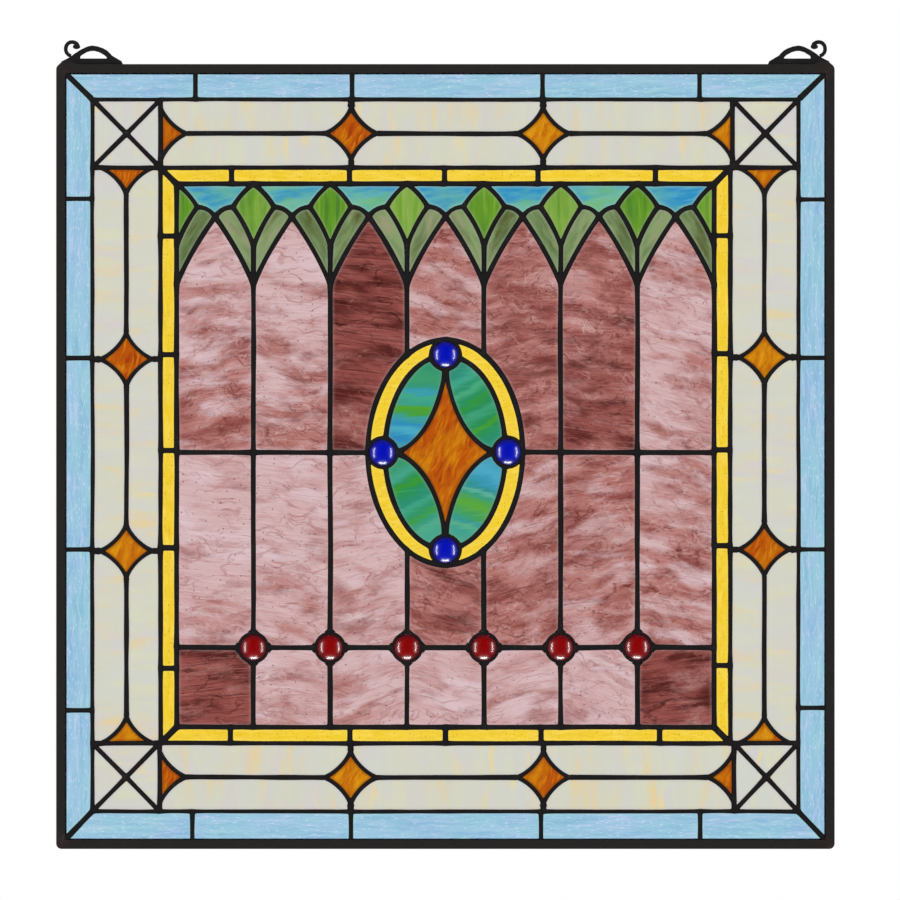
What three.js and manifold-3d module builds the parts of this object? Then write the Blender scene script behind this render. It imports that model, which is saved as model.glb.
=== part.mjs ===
// A hanging stained glass panel: a channel frame with two scrolled hangers, one soldered lattice
// of leading, coloured glass behind it and domed glass jewels. Millimetres, +Z up, front to -Y.
// The origin is the middle of the top bar's upper face.
import * as THREE from "three";
import { mergeVertices } from "three/addons/utils/BufferGeometryUtils.js";
import Module from "manifold-3d";

const wasm = await Module();
wasm.setup();

// Driving dimensions.
const panelWidth = 610;
const panelHeight = 615;
const patternDrop = 306.7; // from the top bar's upper face down to the middle of the pattern
const frameFace = 7.3; // width of the channel seen from the front
const frameDepth = 7;
const barStretches = 5; // each bar's faces are in this many equal stretches
const channelReach = 3.6; // how far the border glass goes into the channel
const glassThick = 3;
const gap = 0.3; // between any two pieces
const leadWidth = 3.6;
const leadThick = 1; // how thick the leading lies over the glass
const webHalf = 0.3; // half the thickness of the web between two colours of glass
const webTail = 0.9; // how far the webs stand out of the back of the glass

// The pattern, outwards from the field.
const columns = 7;
const columnPitch = 60.2;
const fieldHalfHeight = 213;
const fieldHalfWidth = (columns * columnPitch) / 2;
const yellowWidth = 12.6;
const bandHalf = 26.7; // the cream band is twice this wide, with a line along its middle
const middleLine = 2.4; // the two lines that cross the field, up from its middle
const jewelLine = -150.5;
const blueDividers = [-198.3, -74.7, 74.7, 198.3]; // along a side, from its middle
const yellowDividers = [-168, -75, 0, 75, 168]; // the same, with the uprights' from the middle line

// Diamonds in the cream band.
const diamondPlace = 75;
const diamondReach = 18.5;
const diamondHollow = 2.4; // how far its sides are drawn in

// The tulip frieze, measured down from the top of the field.
const budHalfWidth = 16.15;
const budSideDrop = 18.2;
const budFootDrop = 48.8;
const budSwell = 1.3;
const budWaist = 1.3;
const archTopDrop = 25.9;
const archFootDrop = 78.9;
const archSwell = 1.75;
const shoulderSwell = 2.2;

// Where pieces of one colour meet at a point under the leading, they keep a neck of glass.
const budTipNeck = 2.6;
const tealPointNeck = 1.6;
const archTipNeck = 2.4;

// The medallion, about its own middle.
const outerOval = { a: 60.75, b: 88.3 };
const innerOval = { a: 47.3, b: 76 };
const jewelReach = { a: 49.3, b: 76.8 };
const starHollow = 0.21; // how near to the middle the star's sides are drawn in
const ovalSegments = 24;

// Glass jewels.
const jewelRadius = 10;
const jewelDome = 5; // how far a jewel stands out of the glass
const jewelGirdle = 1; // how much of that is straight
const jewelShoulder = 0.75; // where its profile bends, as a share of the radius and of the dome
const jewelSeat = 12.2; // the solder round a jewel
const jewelSides = 12;

// Hangers, measured from the side edge of the panel and up from its top.
const hangerThick = 3.2;
const scrollMiddle = { x: 12.4, z: 12.5 };
const scrollWire = 2.5;
const scrollRadius = 4.95;
const scrollTail = 6.2; // its radius where it opens towards its foot
const scrollStart = 20; // degrees
const scrollTurn = 242; // degrees
const scrollOpening = 0.65; // the share of the turn after which it opens
const scrollPad = { x: 3.4, z: 1.1, a: 2.7, b: 1.5 }; // the flat end, from the scroll's middle
const footStart = 4.2;
const footEnd = 52;

const halfWidth = panelWidth / 2;
const leadHalf = leadWidth / 2;
const glassMargin = webHalf + gap;
const glassFront = -glassThick / 2;
const glassBack = glassThick / 2;
const leadBack = glassFront - gap;
const leadFront = leadBack - leadThick;
const bandInner = yellowWidth;
const bandMiddle = yellowWidth + bandHalf;
const bandOuter = yellowWidth + 2 * bandHalf;
const sightHalfWidth = halfWidth - frameFace;
const sightTop = patternDrop - frameFace;
const sightBottom = patternDrop - panelHeight + frameFace;

// --- Outlines: lists of points in the plane of the panel, anticlockwise seen from the front ---

const point = (x, z) => new THREE.Vector2(x, z);

// Points from one end up to, but not with, the other, swelling to the left of the way.
function sweep(from, to, swell, segments = 2) {
  const along = to.clone().sub(from);
  const left = point(-along.y, along.x).normalize();
  const pull = from.clone().add(to).multiplyScalar(0.5).addScaledVector(left, 2 * swell);
  return new THREE.QuadraticBezierCurve(from, pull, to).getPoints(segments).slice(0, -1);
}

// The outline moved inwards by this distance, or outwards where it is negative.
function inset(outline, distance) {
  const count = outline.length;
  return outline.map((here, i) => {
    const before = here.clone().sub(outline[(i + count - 1) % count]).normalize();
    const after = outline[(i + 1) % count].clone().sub(here).normalize();
    const normalBefore = point(-before.y, before.x);
    const normalAfter = point(-after.y, after.x);
    const middle = normalBefore.add(normalAfter).normalize();
    return here.clone().addScaledVector(middle, distance / middle.dot(normalAfter));
  });
}

const mirrored = (outline) => outline.map((p) => point(-p.x, p.y)).reverse();

const rectangle = (left, bottom, right, top) => [
  point(left, bottom),
  point(right, bottom),
  point(right, top),
  point(left, top),
];

function oval(x, z, a, b, segments) {
  return Array.from({ length: segments }, (_, i) => {
    const turn = (2 * Math.PI * i) / segments;
    return point(x + a * Math.cos(turn), z + b * Math.sin(turn));
  });
}

// --- Solids ---

function solidOf(geometry) {
  const bare = geometry.index ? geometry.toNonIndexed() : geometry.clone();
  bare.deleteAttribute("normal");
  bare.deleteAttribute("uv");
  const merged = mergeVertices(bare, 1e-4);
  return new wasm.Manifold(
    new wasm.Mesh({
      numProp: 3,
      vertProperties: merged.attributes.position.array,
      triVerts: new Uint32Array(merged.index.array),
    }),
  );
}

function geometryOf(solid) {
  const mesh = solid.getMesh();
  const geometry = new THREE.BufferGeometry();
  geometry.setAttribute("position", new THREE.BufferAttribute(mesh.vertProperties, 3));
  geometry.setIndex(new THREE.BufferAttribute(mesh.triVerts, 1));
  geometry.computeVertexNormals();
  return geometry;
}

// A flat solid of this outline between two depths, standing in the plane of the panel.
function plateGeometry(outline, front, back) {
  const geometry = new THREE.ExtrudeGeometry(new THREE.Shape(outline), {
    depth: back - front,
    bevelEnabled: false,
  });
  return geometry.rotateX(Math.PI / 2).translate(0, back, 0);
}

const plate = (outline, front, back) => solidOf(plateGeometry(outline, front, back));
const joined = (solids) => wasm.Manifold.union(solids);

// --- The four sides of the borders: s runs along a side, t outwards from the field's edge ---

const sides = [
  {
    name: "top",
    reach: fieldHalfWidth,
    middle: 0,
    frameAt: sightTop - fieldHalfHeight,
    frameStart: -sightHalfWidth,
    frameEnd: sightHalfWidth,
    place: (s, t) => point(s, fieldHalfHeight + t),
  },
  {
    name: "right",
    reach: fieldHalfHeight,
    middle: -middleLine,
    frameAt: sightHalfWidth - fieldHalfWidth,
    frameStart: -sightTop,
    frameEnd: -sightBottom,
    place: (s, t) => point(fieldHalfWidth + t, -s),
  },
  {
    name: "bottom",
    reach: fieldHalfWidth,
    middle: 0,
    frameAt: -sightBottom - fieldHalfHeight,
    frameStart: -sightHalfWidth,
    frameEnd: sightHalfWidth,
    place: (s, t) => point(-s, -fieldHalfHeight - t),
  },
  {
    name: "left",
    reach: fieldHalfHeight,
    middle: middleLine,
    frameAt: sightHalfWidth - fieldHalfWidth,
    frameStart: sightBottom,
    frameEnd: sightTop,
    place: (s, t) => point(-fieldHalfWidth - t, s),
  },
];

// The panes of a strip between two levels, parted by dividers and mitred at its ends.
function stripPanes(side, inner, outer, dividers, outerStart, outerEnd) {
  const innerEnd = side.reach + inner;
  return [...dividers, innerEnd].map((end, i) => {
    const start = i === 0 ? -innerEnd : dividers[i - 1];
    return [
      side.place(start, inner),
      side.place(end, inner),
      side.place(i === dividers.length ? outerEnd : end, outer),
      side.place(i === 0 ? outerStart : start, outer),
    ];
  });
}

const bluePanes = (side, past) =>
  stripPanes(
    side,
    bandOuter,
    side.frameAt + past,
    blueDividers,
    side.frameStart - past,
    side.frameEnd + past,
  );
const yellowPanes = (side) =>
  stripPanes(
    side,
    0,
    yellowWidth,
    yellowDividers.map((s) => side.middle + s),
    -side.reach - yellowWidth,
    side.reach + yellowWidth,
  );

// A diamond's outer side, from its tip across the band down to its tip along it, to the right.
const diamondRightSide = (place) => [
  ...sweep(point(place, diamondReach), point(place + diamondReach, 0), -diamondHollow),
  point(place + diamondReach, 0),
];
const diamondLeftSide = (place) => [
  ...sweep(point(place - diamondReach, 0), point(place, diamondReach), -diamondHollow),
  point(place, diamondReach),
];

// The three cream panes in the outer half of the band, with t counted from the band's middle.
function creamHalf(side) {
  const end = side.reach + bandInner;
  const between = [
    ...diamondRightSide(-diamondPlace),
    ...diamondLeftSide(diamondPlace),
    point(diamondPlace, bandHalf),
    point(-diamondPlace, bandHalf),
  ];
  const last = [
    ...diamondRightSide(diamondPlace),
    ...diamondLeftSide(end),
    point(end, bandHalf),
    point(diamondPlace, bandHalf),
  ];
  return [mirrored(last), between, last];
}

function creamPanes(side) {
  const outer = creamHalf(side);
  const inner = outer.map((pane) => pane.map((p) => point(p.x, -p.y)).reverse());
  return [...outer, ...inner].map((pane) => pane.map((p) => side.place(p.x, bandMiddle + p.y)));
}

// The right half of a diamond, from its foot to its top, with its base along the band's width.
function rightHalfDiamond() {
  const upper = diamondRightSide(0).reverse();
  const lower = diamondRightSide(0).map((p) => point(p.x, -p.y));
  return [...lower.slice(0, -1), ...upper];
}

function wholeDiamond() {
  const right = rightHalfDiamond();
  return [...right.slice(0, -1), ...mirrored(right).slice(0, -1)];
}

function diamondAt(side, place, outline) {
  return outline.map((p) => side.place(place + p.x, bandMiddle + p.y));
}

function diamondOutlines(side) {
  const end = side.reach + bandInner;
  return {
    whole: [-diamondPlace, diamondPlace].map((place) => diamondAt(side, place, wholeDiamond())),
    half: [
      diamondAt(side, -end, rightHalfDiamond()),
      diamondAt(side, end, mirrored(rightHalfDiamond())),
    ],
  };
}

// The four triangles of a corner square.
function cornerPanes(wayX, wayZ) {
  const x = wayX * (fieldHalfWidth + bandMiddle);
  const z = wayZ * (fieldHalfHeight + bandMiddle);
  const around = rectangle(x - bandHalf, z - bandHalf, x + bandHalf, z + bandHalf);
  return around.map((from, i) => [from, around[(i + 1) % 4], point(x, z)]);
}

// --- The field: columns of glass under lancet arches, with a bud on each column line ---

const columnList = Array.from({ length: columns }, (_, i) => i);
const columnLine = (i) => -fieldHalfWidth + i * columnPitch;
const budTip = (i, neck = 0) => point(columnLine(i), fieldHalfHeight - neck);
const budFoot = (i) => point(columnLine(i), fieldHalfHeight - budFootDrop);
const budSide = (i, way) =>
  point(columnLine(i) + way * budHalfWidth, fieldHalfHeight - budSideDrop);
const archFoot = (i) => point(columnLine(i), fieldHalfHeight - archFootDrop);
const archTip = (i, lift = 0) => point(columnLine(i + 0.5), fieldHalfHeight - archTopDrop + lift);

// The lower edge of the teal glass of a column, from one bud's tip to the next.
const tealEdge = (i, tipNeck, pointNeck) => [
  ...sweep(budTip(i, tipNeck), budSide(i, 1), budSwell),
  ...sweep(budSide(i, 1), archTip(i, pointNeck), shoulderSwell, 3),
  ...sweep(archTip(i, pointNeck), budSide(i + 1, -1), shoulderSwell, 3),
  ...sweep(budSide(i + 1, -1), budTip(i + 1, tipNeck), budSwell),
];

const tealPane = (i) => [...tealEdge(i, 0, 0), budTip(i + 1)];

const tealSheet = () => [
  ...columnList.flatMap((i) => tealEdge(i, budTipNeck, tealPointNeck)),
  budTip(columns, budTipNeck),
  budTip(columns),
  budTip(0),
];

// A bud with its left and right halves, of which the first and last columns have one.
function budOutline(i, neck) {
  const left = [
    ...sweep(budTip(i, neck), budSide(i, -1), -budSwell),
    ...sweep(budSide(i, -1), budFoot(i), budWaist),
  ];
  const right = [
    ...sweep(budFoot(i), budSide(i, 1), budWaist),
    ...sweep(budSide(i, 1), budTip(i, neck), -budSwell),
  ];
  if (i === 0) return [budTip(i, neck), ...right];
  if (i === columns) return [...left, budFoot(i)];
  return [...left, ...right];
}

const leafPanes = (i) => [
  [
    ...sweep(budSide(i, 1), budFoot(i), -budWaist),
    budFoot(i),
    ...sweep(archFoot(i), archTip(i), archSwell),
    ...sweep(archTip(i), budSide(i, 1), -shoulderSwell, 3),
  ],
  [
    archFoot(i + 1),
    ...sweep(budFoot(i + 1), budSide(i + 1, -1), -budWaist),
    ...sweep(budSide(i + 1, -1), archTip(i), -shoulderSwell, 3),
    ...sweep(archTip(i), archFoot(i + 1), archSwell),
  ],
];

// All the arches from left to right, seen from below.
const archLine = (neck) => [
  ...columnList.flatMap((i) => [
    ...sweep(archFoot(i), archTip(i, -neck), archSwell),
    ...sweep(archTip(i, -neck), archFoot(i + 1), archSwell),
  ]),
  archFoot(columns),
];

const leafSheet = () => [
  ...archLine(archTipNeck),
  ...columnList
    .toReversed()
    .flatMap((i) => [
      ...sweep(budFoot(i + 1), budSide(i + 1, -1), -budWaist),
      ...sweep(budSide(i + 1, -1), archTip(i, tealPointNeck), -shoulderSwell, 3),
      ...sweep(archTip(i, tealPointNeck), budSide(i, 1), -shoulderSwell, 3),
      ...sweep(budSide(i, 1), budFoot(i), -budWaist),
    ]),
  budFoot(0),
];

const archedPane = (i) => [
  point(columnLine(i), middleLine),
  point(columnLine(i + 1), middleLine),
  ...sweep(archFoot(i + 1), archTip(i), -archSwell),
  ...sweep(archTip(i), archFoot(i), -archSwell),
  archFoot(i),
];

const rowPane = (i, bottom, top) => rectangle(columnLine(i), bottom, columnLine(i + 1), top);

const fieldRows = {
  upper: [
    point(-fieldHalfWidth, middleLine),
    point(fieldHalfWidth, middleLine),
    ...archLine(archTipNeck).reverse(),
  ],
  middle: rectangle(-fieldHalfWidth, jewelLine, fieldHalfWidth, middleLine),
  lower: rectangle(-fieldHalfWidth, -fieldHalfHeight, fieldHalfWidth, jewelLine),
};

// --- The medallion ---

const starTips = { a: jewelReach.a - jewelSeat + 1, b: jewelReach.b - jewelSeat + 1 };
const ovalOutline = ({ a, b }) => oval(0, middleLine, a, b, ovalSegments);

function starOutline() {
  const tips = [
    [1, 0],
    [0, 1],
    [-1, 0],
    [0, -1],
  ];
  return tips.flatMap(([x, z], i) => {
    const [nextX, nextZ] = tips[(i + 1) % 4];
    const place = (u, v) => point(u * starTips.a, middleLine + v * starTips.b);
    const pull = place((x + nextX) * starHollow, (z + nextZ) * starHollow);
    return new THREE.QuadraticBezierCurve(place(x, z), pull, place(nextX, nextZ))
      .getPoints(4)
      .slice(0, -1);
  });
}

const blueJewels = {
  top: point(0, middleLine + jewelReach.b),
  right: point(jewelReach.a, middleLine),
  bottom: point(0, middleLine - jewelReach.b),
  left: point(-jewelReach.a, middleLine),
};
const redJewels = columnList.slice(1).map((i) => point(columnLine(i), jewelLine));
const allJewels = [...Object.values(blueJewels), ...redJewels];

const discs = (middles, radius, front, back) =>
  joined(middles.map((m) => plate(oval(m.x, m.y, radius, radius, jewelSides), front, back)));

// Squares on edge round the red jewels: the glass of the field is cut straight across its corners.
const redSeats = (front, back) =>
  joined(
    redJewels.map((m) => {
      const tip = jewelSeat * Math.SQRT2;
      return plate(oval(m.x, m.y, tip, tip, 4), front, back);
    }),
  );

// --- The leading: a slab with a window for each pane, and webs between the colours of glass ---

const beyond = 1; // how far a cutting solid passes the faces that it cuts
const windowFront = leadFront - beyond;
const windowBack = leadBack + beyond;
const windowOf = (outline) => plate(inset(outline, leadHalf), windowFront, windowBack);

// Panes that nothing round cuts into.
function plainPanes() {
  const borders = sides.flatMap((side) => {
    const { whole, half } = diamondOutlines(side);
    const past = leadHalf + beyond;
    return [...bluePanes(side, past), ...creamPanes(side), ...yellowPanes(side), ...whole, ...half];
  });
  const corners = [-1, 1].flatMap((x) => [-1, 1].flatMap((z) => cornerPanes(x, z)));
  const frieze = columnList.flatMap((i) => [tealPane(i), ...leafPanes(i)]);
  const buds = [...columnList, columns].map((i) => budOutline(i, 0));
  return [...borders, ...corners, ...frieze, ...buds];
}

function fieldWindows() {
  const panes = columnList.flatMap((i) => [
    archedPane(i),
    rowPane(i, jewelLine, middleLine),
    rowPane(i, -fieldHalfHeight, jewelLine),
  ]);
  const medallion = plate(inset(ovalOutline(outerOval), -leadHalf), windowFront, windowBack);
  return joined(panes.map(windowOf))
    .subtract(medallion)
    .subtract(redSeats(windowFront, windowBack));
}

function medallionWindows() {
  const grown = (outline) => plate(inset(outline, -leadHalf), windowFront, windowBack);
  const star = starOutline();
  const gold = windowOf(ovalOutline(outerOval)).subtract(grown(ovalOutline(innerOval)));
  const petals = windowOf(ovalOutline(innerOval)).subtract(grown(star));
  const seats = discs(Object.values(blueJewels), jewelSeat, windowFront, windowBack);
  return joined([gold, petals, windowOf(star)]).subtract(seats);
}

// --- Sheets of glass: one for each colour of a border or a row, with its panes fused ---

// Each shape makes the sheet with this margin to the lead lines round it, between two depths.
const outlineShape = (outline) => (margin, front, back) =>
  plate(inset(outline, margin), front, back);

const ringShape = (outer, inner, cutters) => (margin, front, back) => {
  const ring = plate(inset(outer, margin), front, back);
  const holes = [inner, ...cutters].map((hole) =>
    plate(inset(hole, -margin), front - beyond, back + beyond),
  );
  return ring.subtract(joined(holes));
};

const levelRectangle = (t) =>
  rectangle(-fieldHalfWidth - t, -fieldHalfHeight - t, fieldHalfWidth + t, fieldHalfHeight + t);

const channelRectangle = rectangle(
  -sightHalfWidth - channelReach - glassMargin,
  sightBottom - channelReach - glassMargin,
  sightHalfWidth + channelReach + glassMargin,
  sightTop + channelReach + glassMargin,
);

// A jewel's hole in the glass round it: the jewel, a gap, the web and another gap.
const jewelHole = (margin) => jewelRadius + gap + webHalf + margin;

const rowShape = (outline) => (margin, front, back) => {
  const row = plate(inset(outline, margin), front, back);
  const middle = inset(ovalOutline(outerOval), -margin);
  return row
    .subtract(plate(middle, front - beyond, back + beyond))
    .subtract(discs(redJewels, jewelHole(margin), front - beyond, back + beyond));
};

const quarters = { upper: 1, lower: -1 };
const quarterPlate = (x, z, front, back) => {
  const { a, b } = outerOval;
  const left = Math.min(0, x * a);
  const bottom = middleLine + Math.min(0, z * b);
  return plate(rectangle(left, bottom, left + a, bottom + b), front, back);
};

const ovalRingShape = (x, z, outerEdge, innerEdge) => (margin, front, back) => {
  const seats = discs(Object.values(blueJewels), jewelHole(margin), front - beyond, back + beyond);
  return plate(inset(outerEdge, margin), front, back)
    .subtract(plate(inset(innerEdge, -margin), front - beyond, back + beyond))
    .subtract(seats)
    .intersect(quarterPlate(x, z, front - beyond, back + beyond));
};

function sheetList() {
  const diamonds = sides.map((side) => [side.name, diamondOutlines(side)]);
  const allDiamonds = diamonds.flatMap(([, { whole, half }]) => [...whole, ...half]);
  const band = ringShape(levelRectangle(bandOuter), levelRectangle(bandInner), allDiamonds);
  const list = [
    ["blue_border", "blue", ringShape(channelRectangle, levelRectangle(bandOuter), [])],
    ["cream_band", "cream", band],
    ["yellow_border", "yellow", ringShape(levelRectangle(yellowWidth), levelRectangle(0), [])],
    ["teal_frieze", "teal", outlineShape(tealSheet())],
    ["leaf_frieze", "leaf", outlineShape(leafSheet())],
    ["medallion_star", "amber", outlineShape(starOutline())],
  ];
  for (const [name, { whole, half }] of diamonds) {
    whole.forEach((outline, i) =>
      list.push([`diamond_${name}_${i + 1}`, "amber", outlineShape(outline)]),
    );
    half.forEach((outline, i) =>
      list.push([`half_diamond_${name}_${i + 1}`, "amber", outlineShape(outline)]),
    );
  }
  for (const i of [...columnList, columns])
    list.push([`bud_${i + 1}`, "bud", outlineShape(budOutline(i, budTipNeck))]);
  for (const [name, outline] of Object.entries(fieldRows))
    list.push([`purple_row_${name}`, "purple", rowShape(outline)]);
  const outerEdge = ovalOutline(outerOval);
  const innerEdge = ovalOutline(innerOval);
  for (const [height, z] of Object.entries(quarters))
    for (const [way, x] of Object.entries({ left: -1, right: 1 }))
      list.push(
        [`gold_arc_${height}_${way}`, "yellow", ovalRingShape(x, z, outerEdge, innerEdge)],
        [`petal_${height}_${way}`, "petal", ovalRingShape(x, z, innerEdge, starOutline())],
      );
  return list;
}

function leading() {
  const slab = (front, back) =>
    plate(
      rectangle(
        -sightHalfWidth + gap,
        sightBottom + gap,
        sightHalfWidth - gap,
        sightTop - gap,
      ),
      front,
      back,
    );
  const windows = joined([...plainPanes().map(windowOf), fieldWindows(), medallionWindows()]);
  const holes = discs(allJewels, jewelRadius + gap, windowFront, windowBack);
  return slab(leadFront, leadBack).subtract(windows).add(webs()).subtract(holes);
}

// The webs go through to the back along the main lines: round the borders, across the field and
// round the medallion.
function webs() {
  const front = leadBack - leadThick / 2;
  const back = glassBack + webTail;
  const medallion = ovalOutline(outerOval);
  const inMedallion = plate(medallion, front - beyond, back + beyond);
  const hollow = (outline) =>
    plate(inset(outline, -webHalf), front, back).subtract(
      plate(inset(outline, webHalf), front - beyond, back + beyond),
    );
  const acrossField = [middleLine, jewelLine].map((z) =>
    plate(
      rectangle(-fieldHalfWidth, z - webHalf, fieldHalfWidth, z + webHalf),
      front,
      back,
    ),
  );
  const inJewels = discs(redJewels, jewelHole(0), front - beyond, back + beyond);
  const rings = [bandOuter, bandInner, 0].map((t) => hollow(levelRectangle(t)));
  const lines = joined(acrossField).subtract(inMedallion).subtract(inJewels);
  return joined([...rings, lines, hollow(medallion)]);
}

// --- Jewels, frame and hangers ---

function jewelGeometry() {
  const profile = [
    [0, glassBack],
    [jewelRadius, glassBack],
    [jewelRadius, glassFront - jewelGirdle],
    [jewelRadius * jewelShoulder, glassFront - jewelDome * jewelShoulder],
    [0, glassFront - jewelDome],
  ];
  return new THREE.LatheGeometry(
    profile.map(([r, y]) => point(r, y)).reverse(),
    jewelSides,
  );
}

// One bar of the channel along X, lying under z = 0, with mitred ends.
function barGeometry(length) {
  const slotHalf = glassThick / 2 + gap;
  const slotFloor = frameFace - channelReach - gap;
  const half = frameDepth / 2;
  const section = new THREE.Shape([
    point(0, -half),
    point(frameFace, -half),
    point(frameFace, -slotHalf),
    point(slotFloor, -slotHalf),
    point(slotFloor, slotHalf),
    point(frameFace, slotHalf),
    point(frameFace, half),
    point(0, half),
  ]);
  const geometry = new THREE.ExtrudeGeometry(section, {
    depth: 1,
    steps: barStretches,
    bevelEnabled: false,
  });
  const place = geometry.getAttribute("position");
  for (let i = 0; i < place.count; i++) {
    const down = place.getX(i);
    const along = (2 * place.getZ(i) - 1) * (length / 2 - down - gap / 2);
    place.setXYZ(i, along, place.getY(i), -down);
  }
  return geometry;
}

// The left hanger: a low bar with an arch over it, and a scroll on its outer end.
function hangerSolid(mirror) {
  const arch = new THREE.SplineCurve([
    point(43.7, 6.5),
    point(38.3, 11.5),
    point(28.4, 14.4),
    point(20.3, 11.7),
    point(13.5, 7.4),
  ]);
  const body = [
    point(footStart, gap),
    point(footEnd, gap),
    point(50.9, 2.3),
    ...arch.getPoints(10),
    point(10.6, 5.2),
    point(footStart, 2),
  ];
  const eye = [
    point(18.6, 4.3),
    point(39.6, 4.3),
    point(39.6, 5.6),
    point(37.6, 7.4),
    point(33.6, 9.6),
    point(30, 10.6),
    point(27, 10.6),
    point(23.6, 9.6),
    point(19.1, 6.8),
    point(18.6, 6),
  ];
  const turns = 11;
  const spiral = Array.from({ length: turns + 1 }, (_, i) => {
    const angle = THREE.MathUtils.degToRad(scrollStart + (scrollTurn * i) / turns);
    const open = Math.max(0, i / turns - scrollOpening) / (1 - scrollOpening);
    return { angle, radius: scrollRadius + open * (scrollTail - scrollRadius) };
  });
  const along = (edge) =>
    spiral.map(({ angle, radius }) =>
      point(
        scrollMiddle.x + (radius + edge) * Math.cos(angle),
        scrollMiddle.z + (radius + edge) * Math.sin(angle),
      ),
    );
  const scroll = [...along(scrollWire / 2), ...along(-scrollWire / 2).reverse()];
  const pad = oval(
    scrollMiddle.x + scrollPad.x,
    scrollMiddle.z + scrollPad.z,
    scrollPad.a,
    scrollPad.b,
    10,
  );
  const placed = (outline, half) => {
    const moved = outline.map((p) => point(p.x - halfWidth, p.y));
    return plate(mirror ? mirrored(moved) : moved, -half, half);
  };
  const half = hangerThick / 2;
  return joined([placed(body, half), placed(scroll, half), placed(pad, half)]).subtract(
    placed(eye, half + beyond),
  );
}

// --- Materials ---

const glass = (color, opacity) =>
  new THREE.MeshStandardMaterial({ color, roughness: 0.15, opacity, transparent: true });
const patina = new THREE.MeshStandardMaterial({ color: 0x201e1e, roughness: 0.5, metalness: 0.7 });
const iron = new THREE.MeshStandardMaterial({ color: 0x2a2727, roughness: 0.6, metalness: 0.6 });
const materials = {
  blue: glass(0xa0cde6, 0.9),
  cream: glass(0xdad6c6, 0.95),
  yellow: glass(0xfad73c, 0.8),
  teal: glass(0x5ab4be, 0.9),
  leaf: glass(0x7c9a6c, 0.9),
  bud: glass(0x68ac36, 0.9),
  purple: glass(0xc39a9e, 0.8),
  petal: glass(0x3ca57a, 0.9),
  amber: glass(0xd0720e, 0.9),
  cobalt: glass(0x0a0ac0, 0.8),
  ruby: glass(0xb9000f, 0.8),
};

// --- The panel ---

const panel = new THREE.Group();
const pattern = new THREE.Group();
pattern.position.z = -patternDrop;
panel.add(pattern);

function addMesh(group, name, geometry, material) {
  const mesh = new THREE.Mesh(geometry, material);
  mesh.name = name;
  group.add(mesh);
  return mesh;
}

for (const [name, slot, shape] of sheetList())
  addMesh(pattern, name, geometryOf(shape(glassMargin, glassFront, glassBack)), materials[slot]);
addMesh(pattern, "leading", geometryOf(leading()), patina);

for (const [name, middle] of Object.entries(blueJewels))
  addMesh(pattern, `blue_jewel_${name}`, jewelGeometry(), materials.cobalt).position.set(
    middle.x,
    0,
    middle.y,
  );
redJewels.forEach((middle, i) =>
  addMesh(pattern, `red_jewel_${i + 1}`, jewelGeometry(), materials.ruby).position.set(
    middle.x,
    0,
    middle.y,
  ),
);

const frame = new THREE.Group();
frame.position.z = -panelHeight / 2;
panel.add(frame);
sides.forEach(({ name }, i) => {
  const upright = i % 2 === 1;
  const bar = addMesh(
    frame,
    `frame_${name}`,
    barGeometry(upright ? panelHeight : panelWidth),
    iron,
  );
  const turn = (i * Math.PI) / 2;
  const reach = (upright ? panelWidth : panelHeight) / 2;
  bar.rotation.y = turn;
  bar.position.set(reach * Math.sin(turn), 0, reach * Math.cos(turn));
});

addMesh(panel, "hanger_left", geometryOf(hangerSolid(false)), iron);
addMesh(panel, "hanger_right", geometryOf(hangerSolid(true)), iron);

export default panel;
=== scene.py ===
import math
import bmesh
import bpy
import numpy as np
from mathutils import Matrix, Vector, noise
from mathutils.geometry import tessellate_polygon


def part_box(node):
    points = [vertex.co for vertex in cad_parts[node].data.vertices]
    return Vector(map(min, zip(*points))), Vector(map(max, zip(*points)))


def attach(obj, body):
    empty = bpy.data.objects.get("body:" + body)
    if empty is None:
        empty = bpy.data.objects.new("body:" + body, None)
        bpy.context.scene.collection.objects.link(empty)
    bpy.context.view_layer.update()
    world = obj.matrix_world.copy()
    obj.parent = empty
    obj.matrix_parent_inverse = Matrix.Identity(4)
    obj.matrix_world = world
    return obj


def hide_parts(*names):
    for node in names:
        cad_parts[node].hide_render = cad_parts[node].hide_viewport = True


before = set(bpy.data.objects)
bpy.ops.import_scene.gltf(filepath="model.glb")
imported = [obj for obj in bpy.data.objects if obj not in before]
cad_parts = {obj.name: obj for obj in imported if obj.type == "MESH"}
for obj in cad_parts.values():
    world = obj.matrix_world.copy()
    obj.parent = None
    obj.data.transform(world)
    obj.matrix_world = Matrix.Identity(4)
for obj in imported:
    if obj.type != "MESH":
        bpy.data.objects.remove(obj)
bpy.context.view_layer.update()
mm = 0.001
cm = 0.01
scene = bpy.context.scene

studio = {
    "viewWidth": 705.5 * mm,  # how wide a stretch of the panel's plane the camera sees
    "cameraAway": 7.0,
    "aimRight": 3.6 * mm,  # where the camera looks, from the middle of the frame
    "aimUp": 5.1 * mm,
    "sensor": 36.0,
    "worldLight": 1.0,
    "floorDrop": 0.30,  # the floor below the panel's lower edge
    "floorReach": 1.6,
    "keyPlace": (-1.4, -2.2, 1.5),  # from the middle of the frame
    "keySize": 1.2,
    "keyPower": 9.0,
    "paint": (0.88, 0.88, 0.88, 1.0),
}


def low(node):
    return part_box(node)[0]


def high(node):
    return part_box(node)[1]


frameMiddle = Vector(((low("frame_left").x + high("frame_right").x) / 2, 0.0,
                      (low("frame_bottom").z + high("frame_top").z) / 2))


def pointAt(thing, target):
    thing.rotation_mode = "QUATERNION"
    thing.rotation_quaternion = (target - thing.location).to_track_quat("-Z", "Y")


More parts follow.
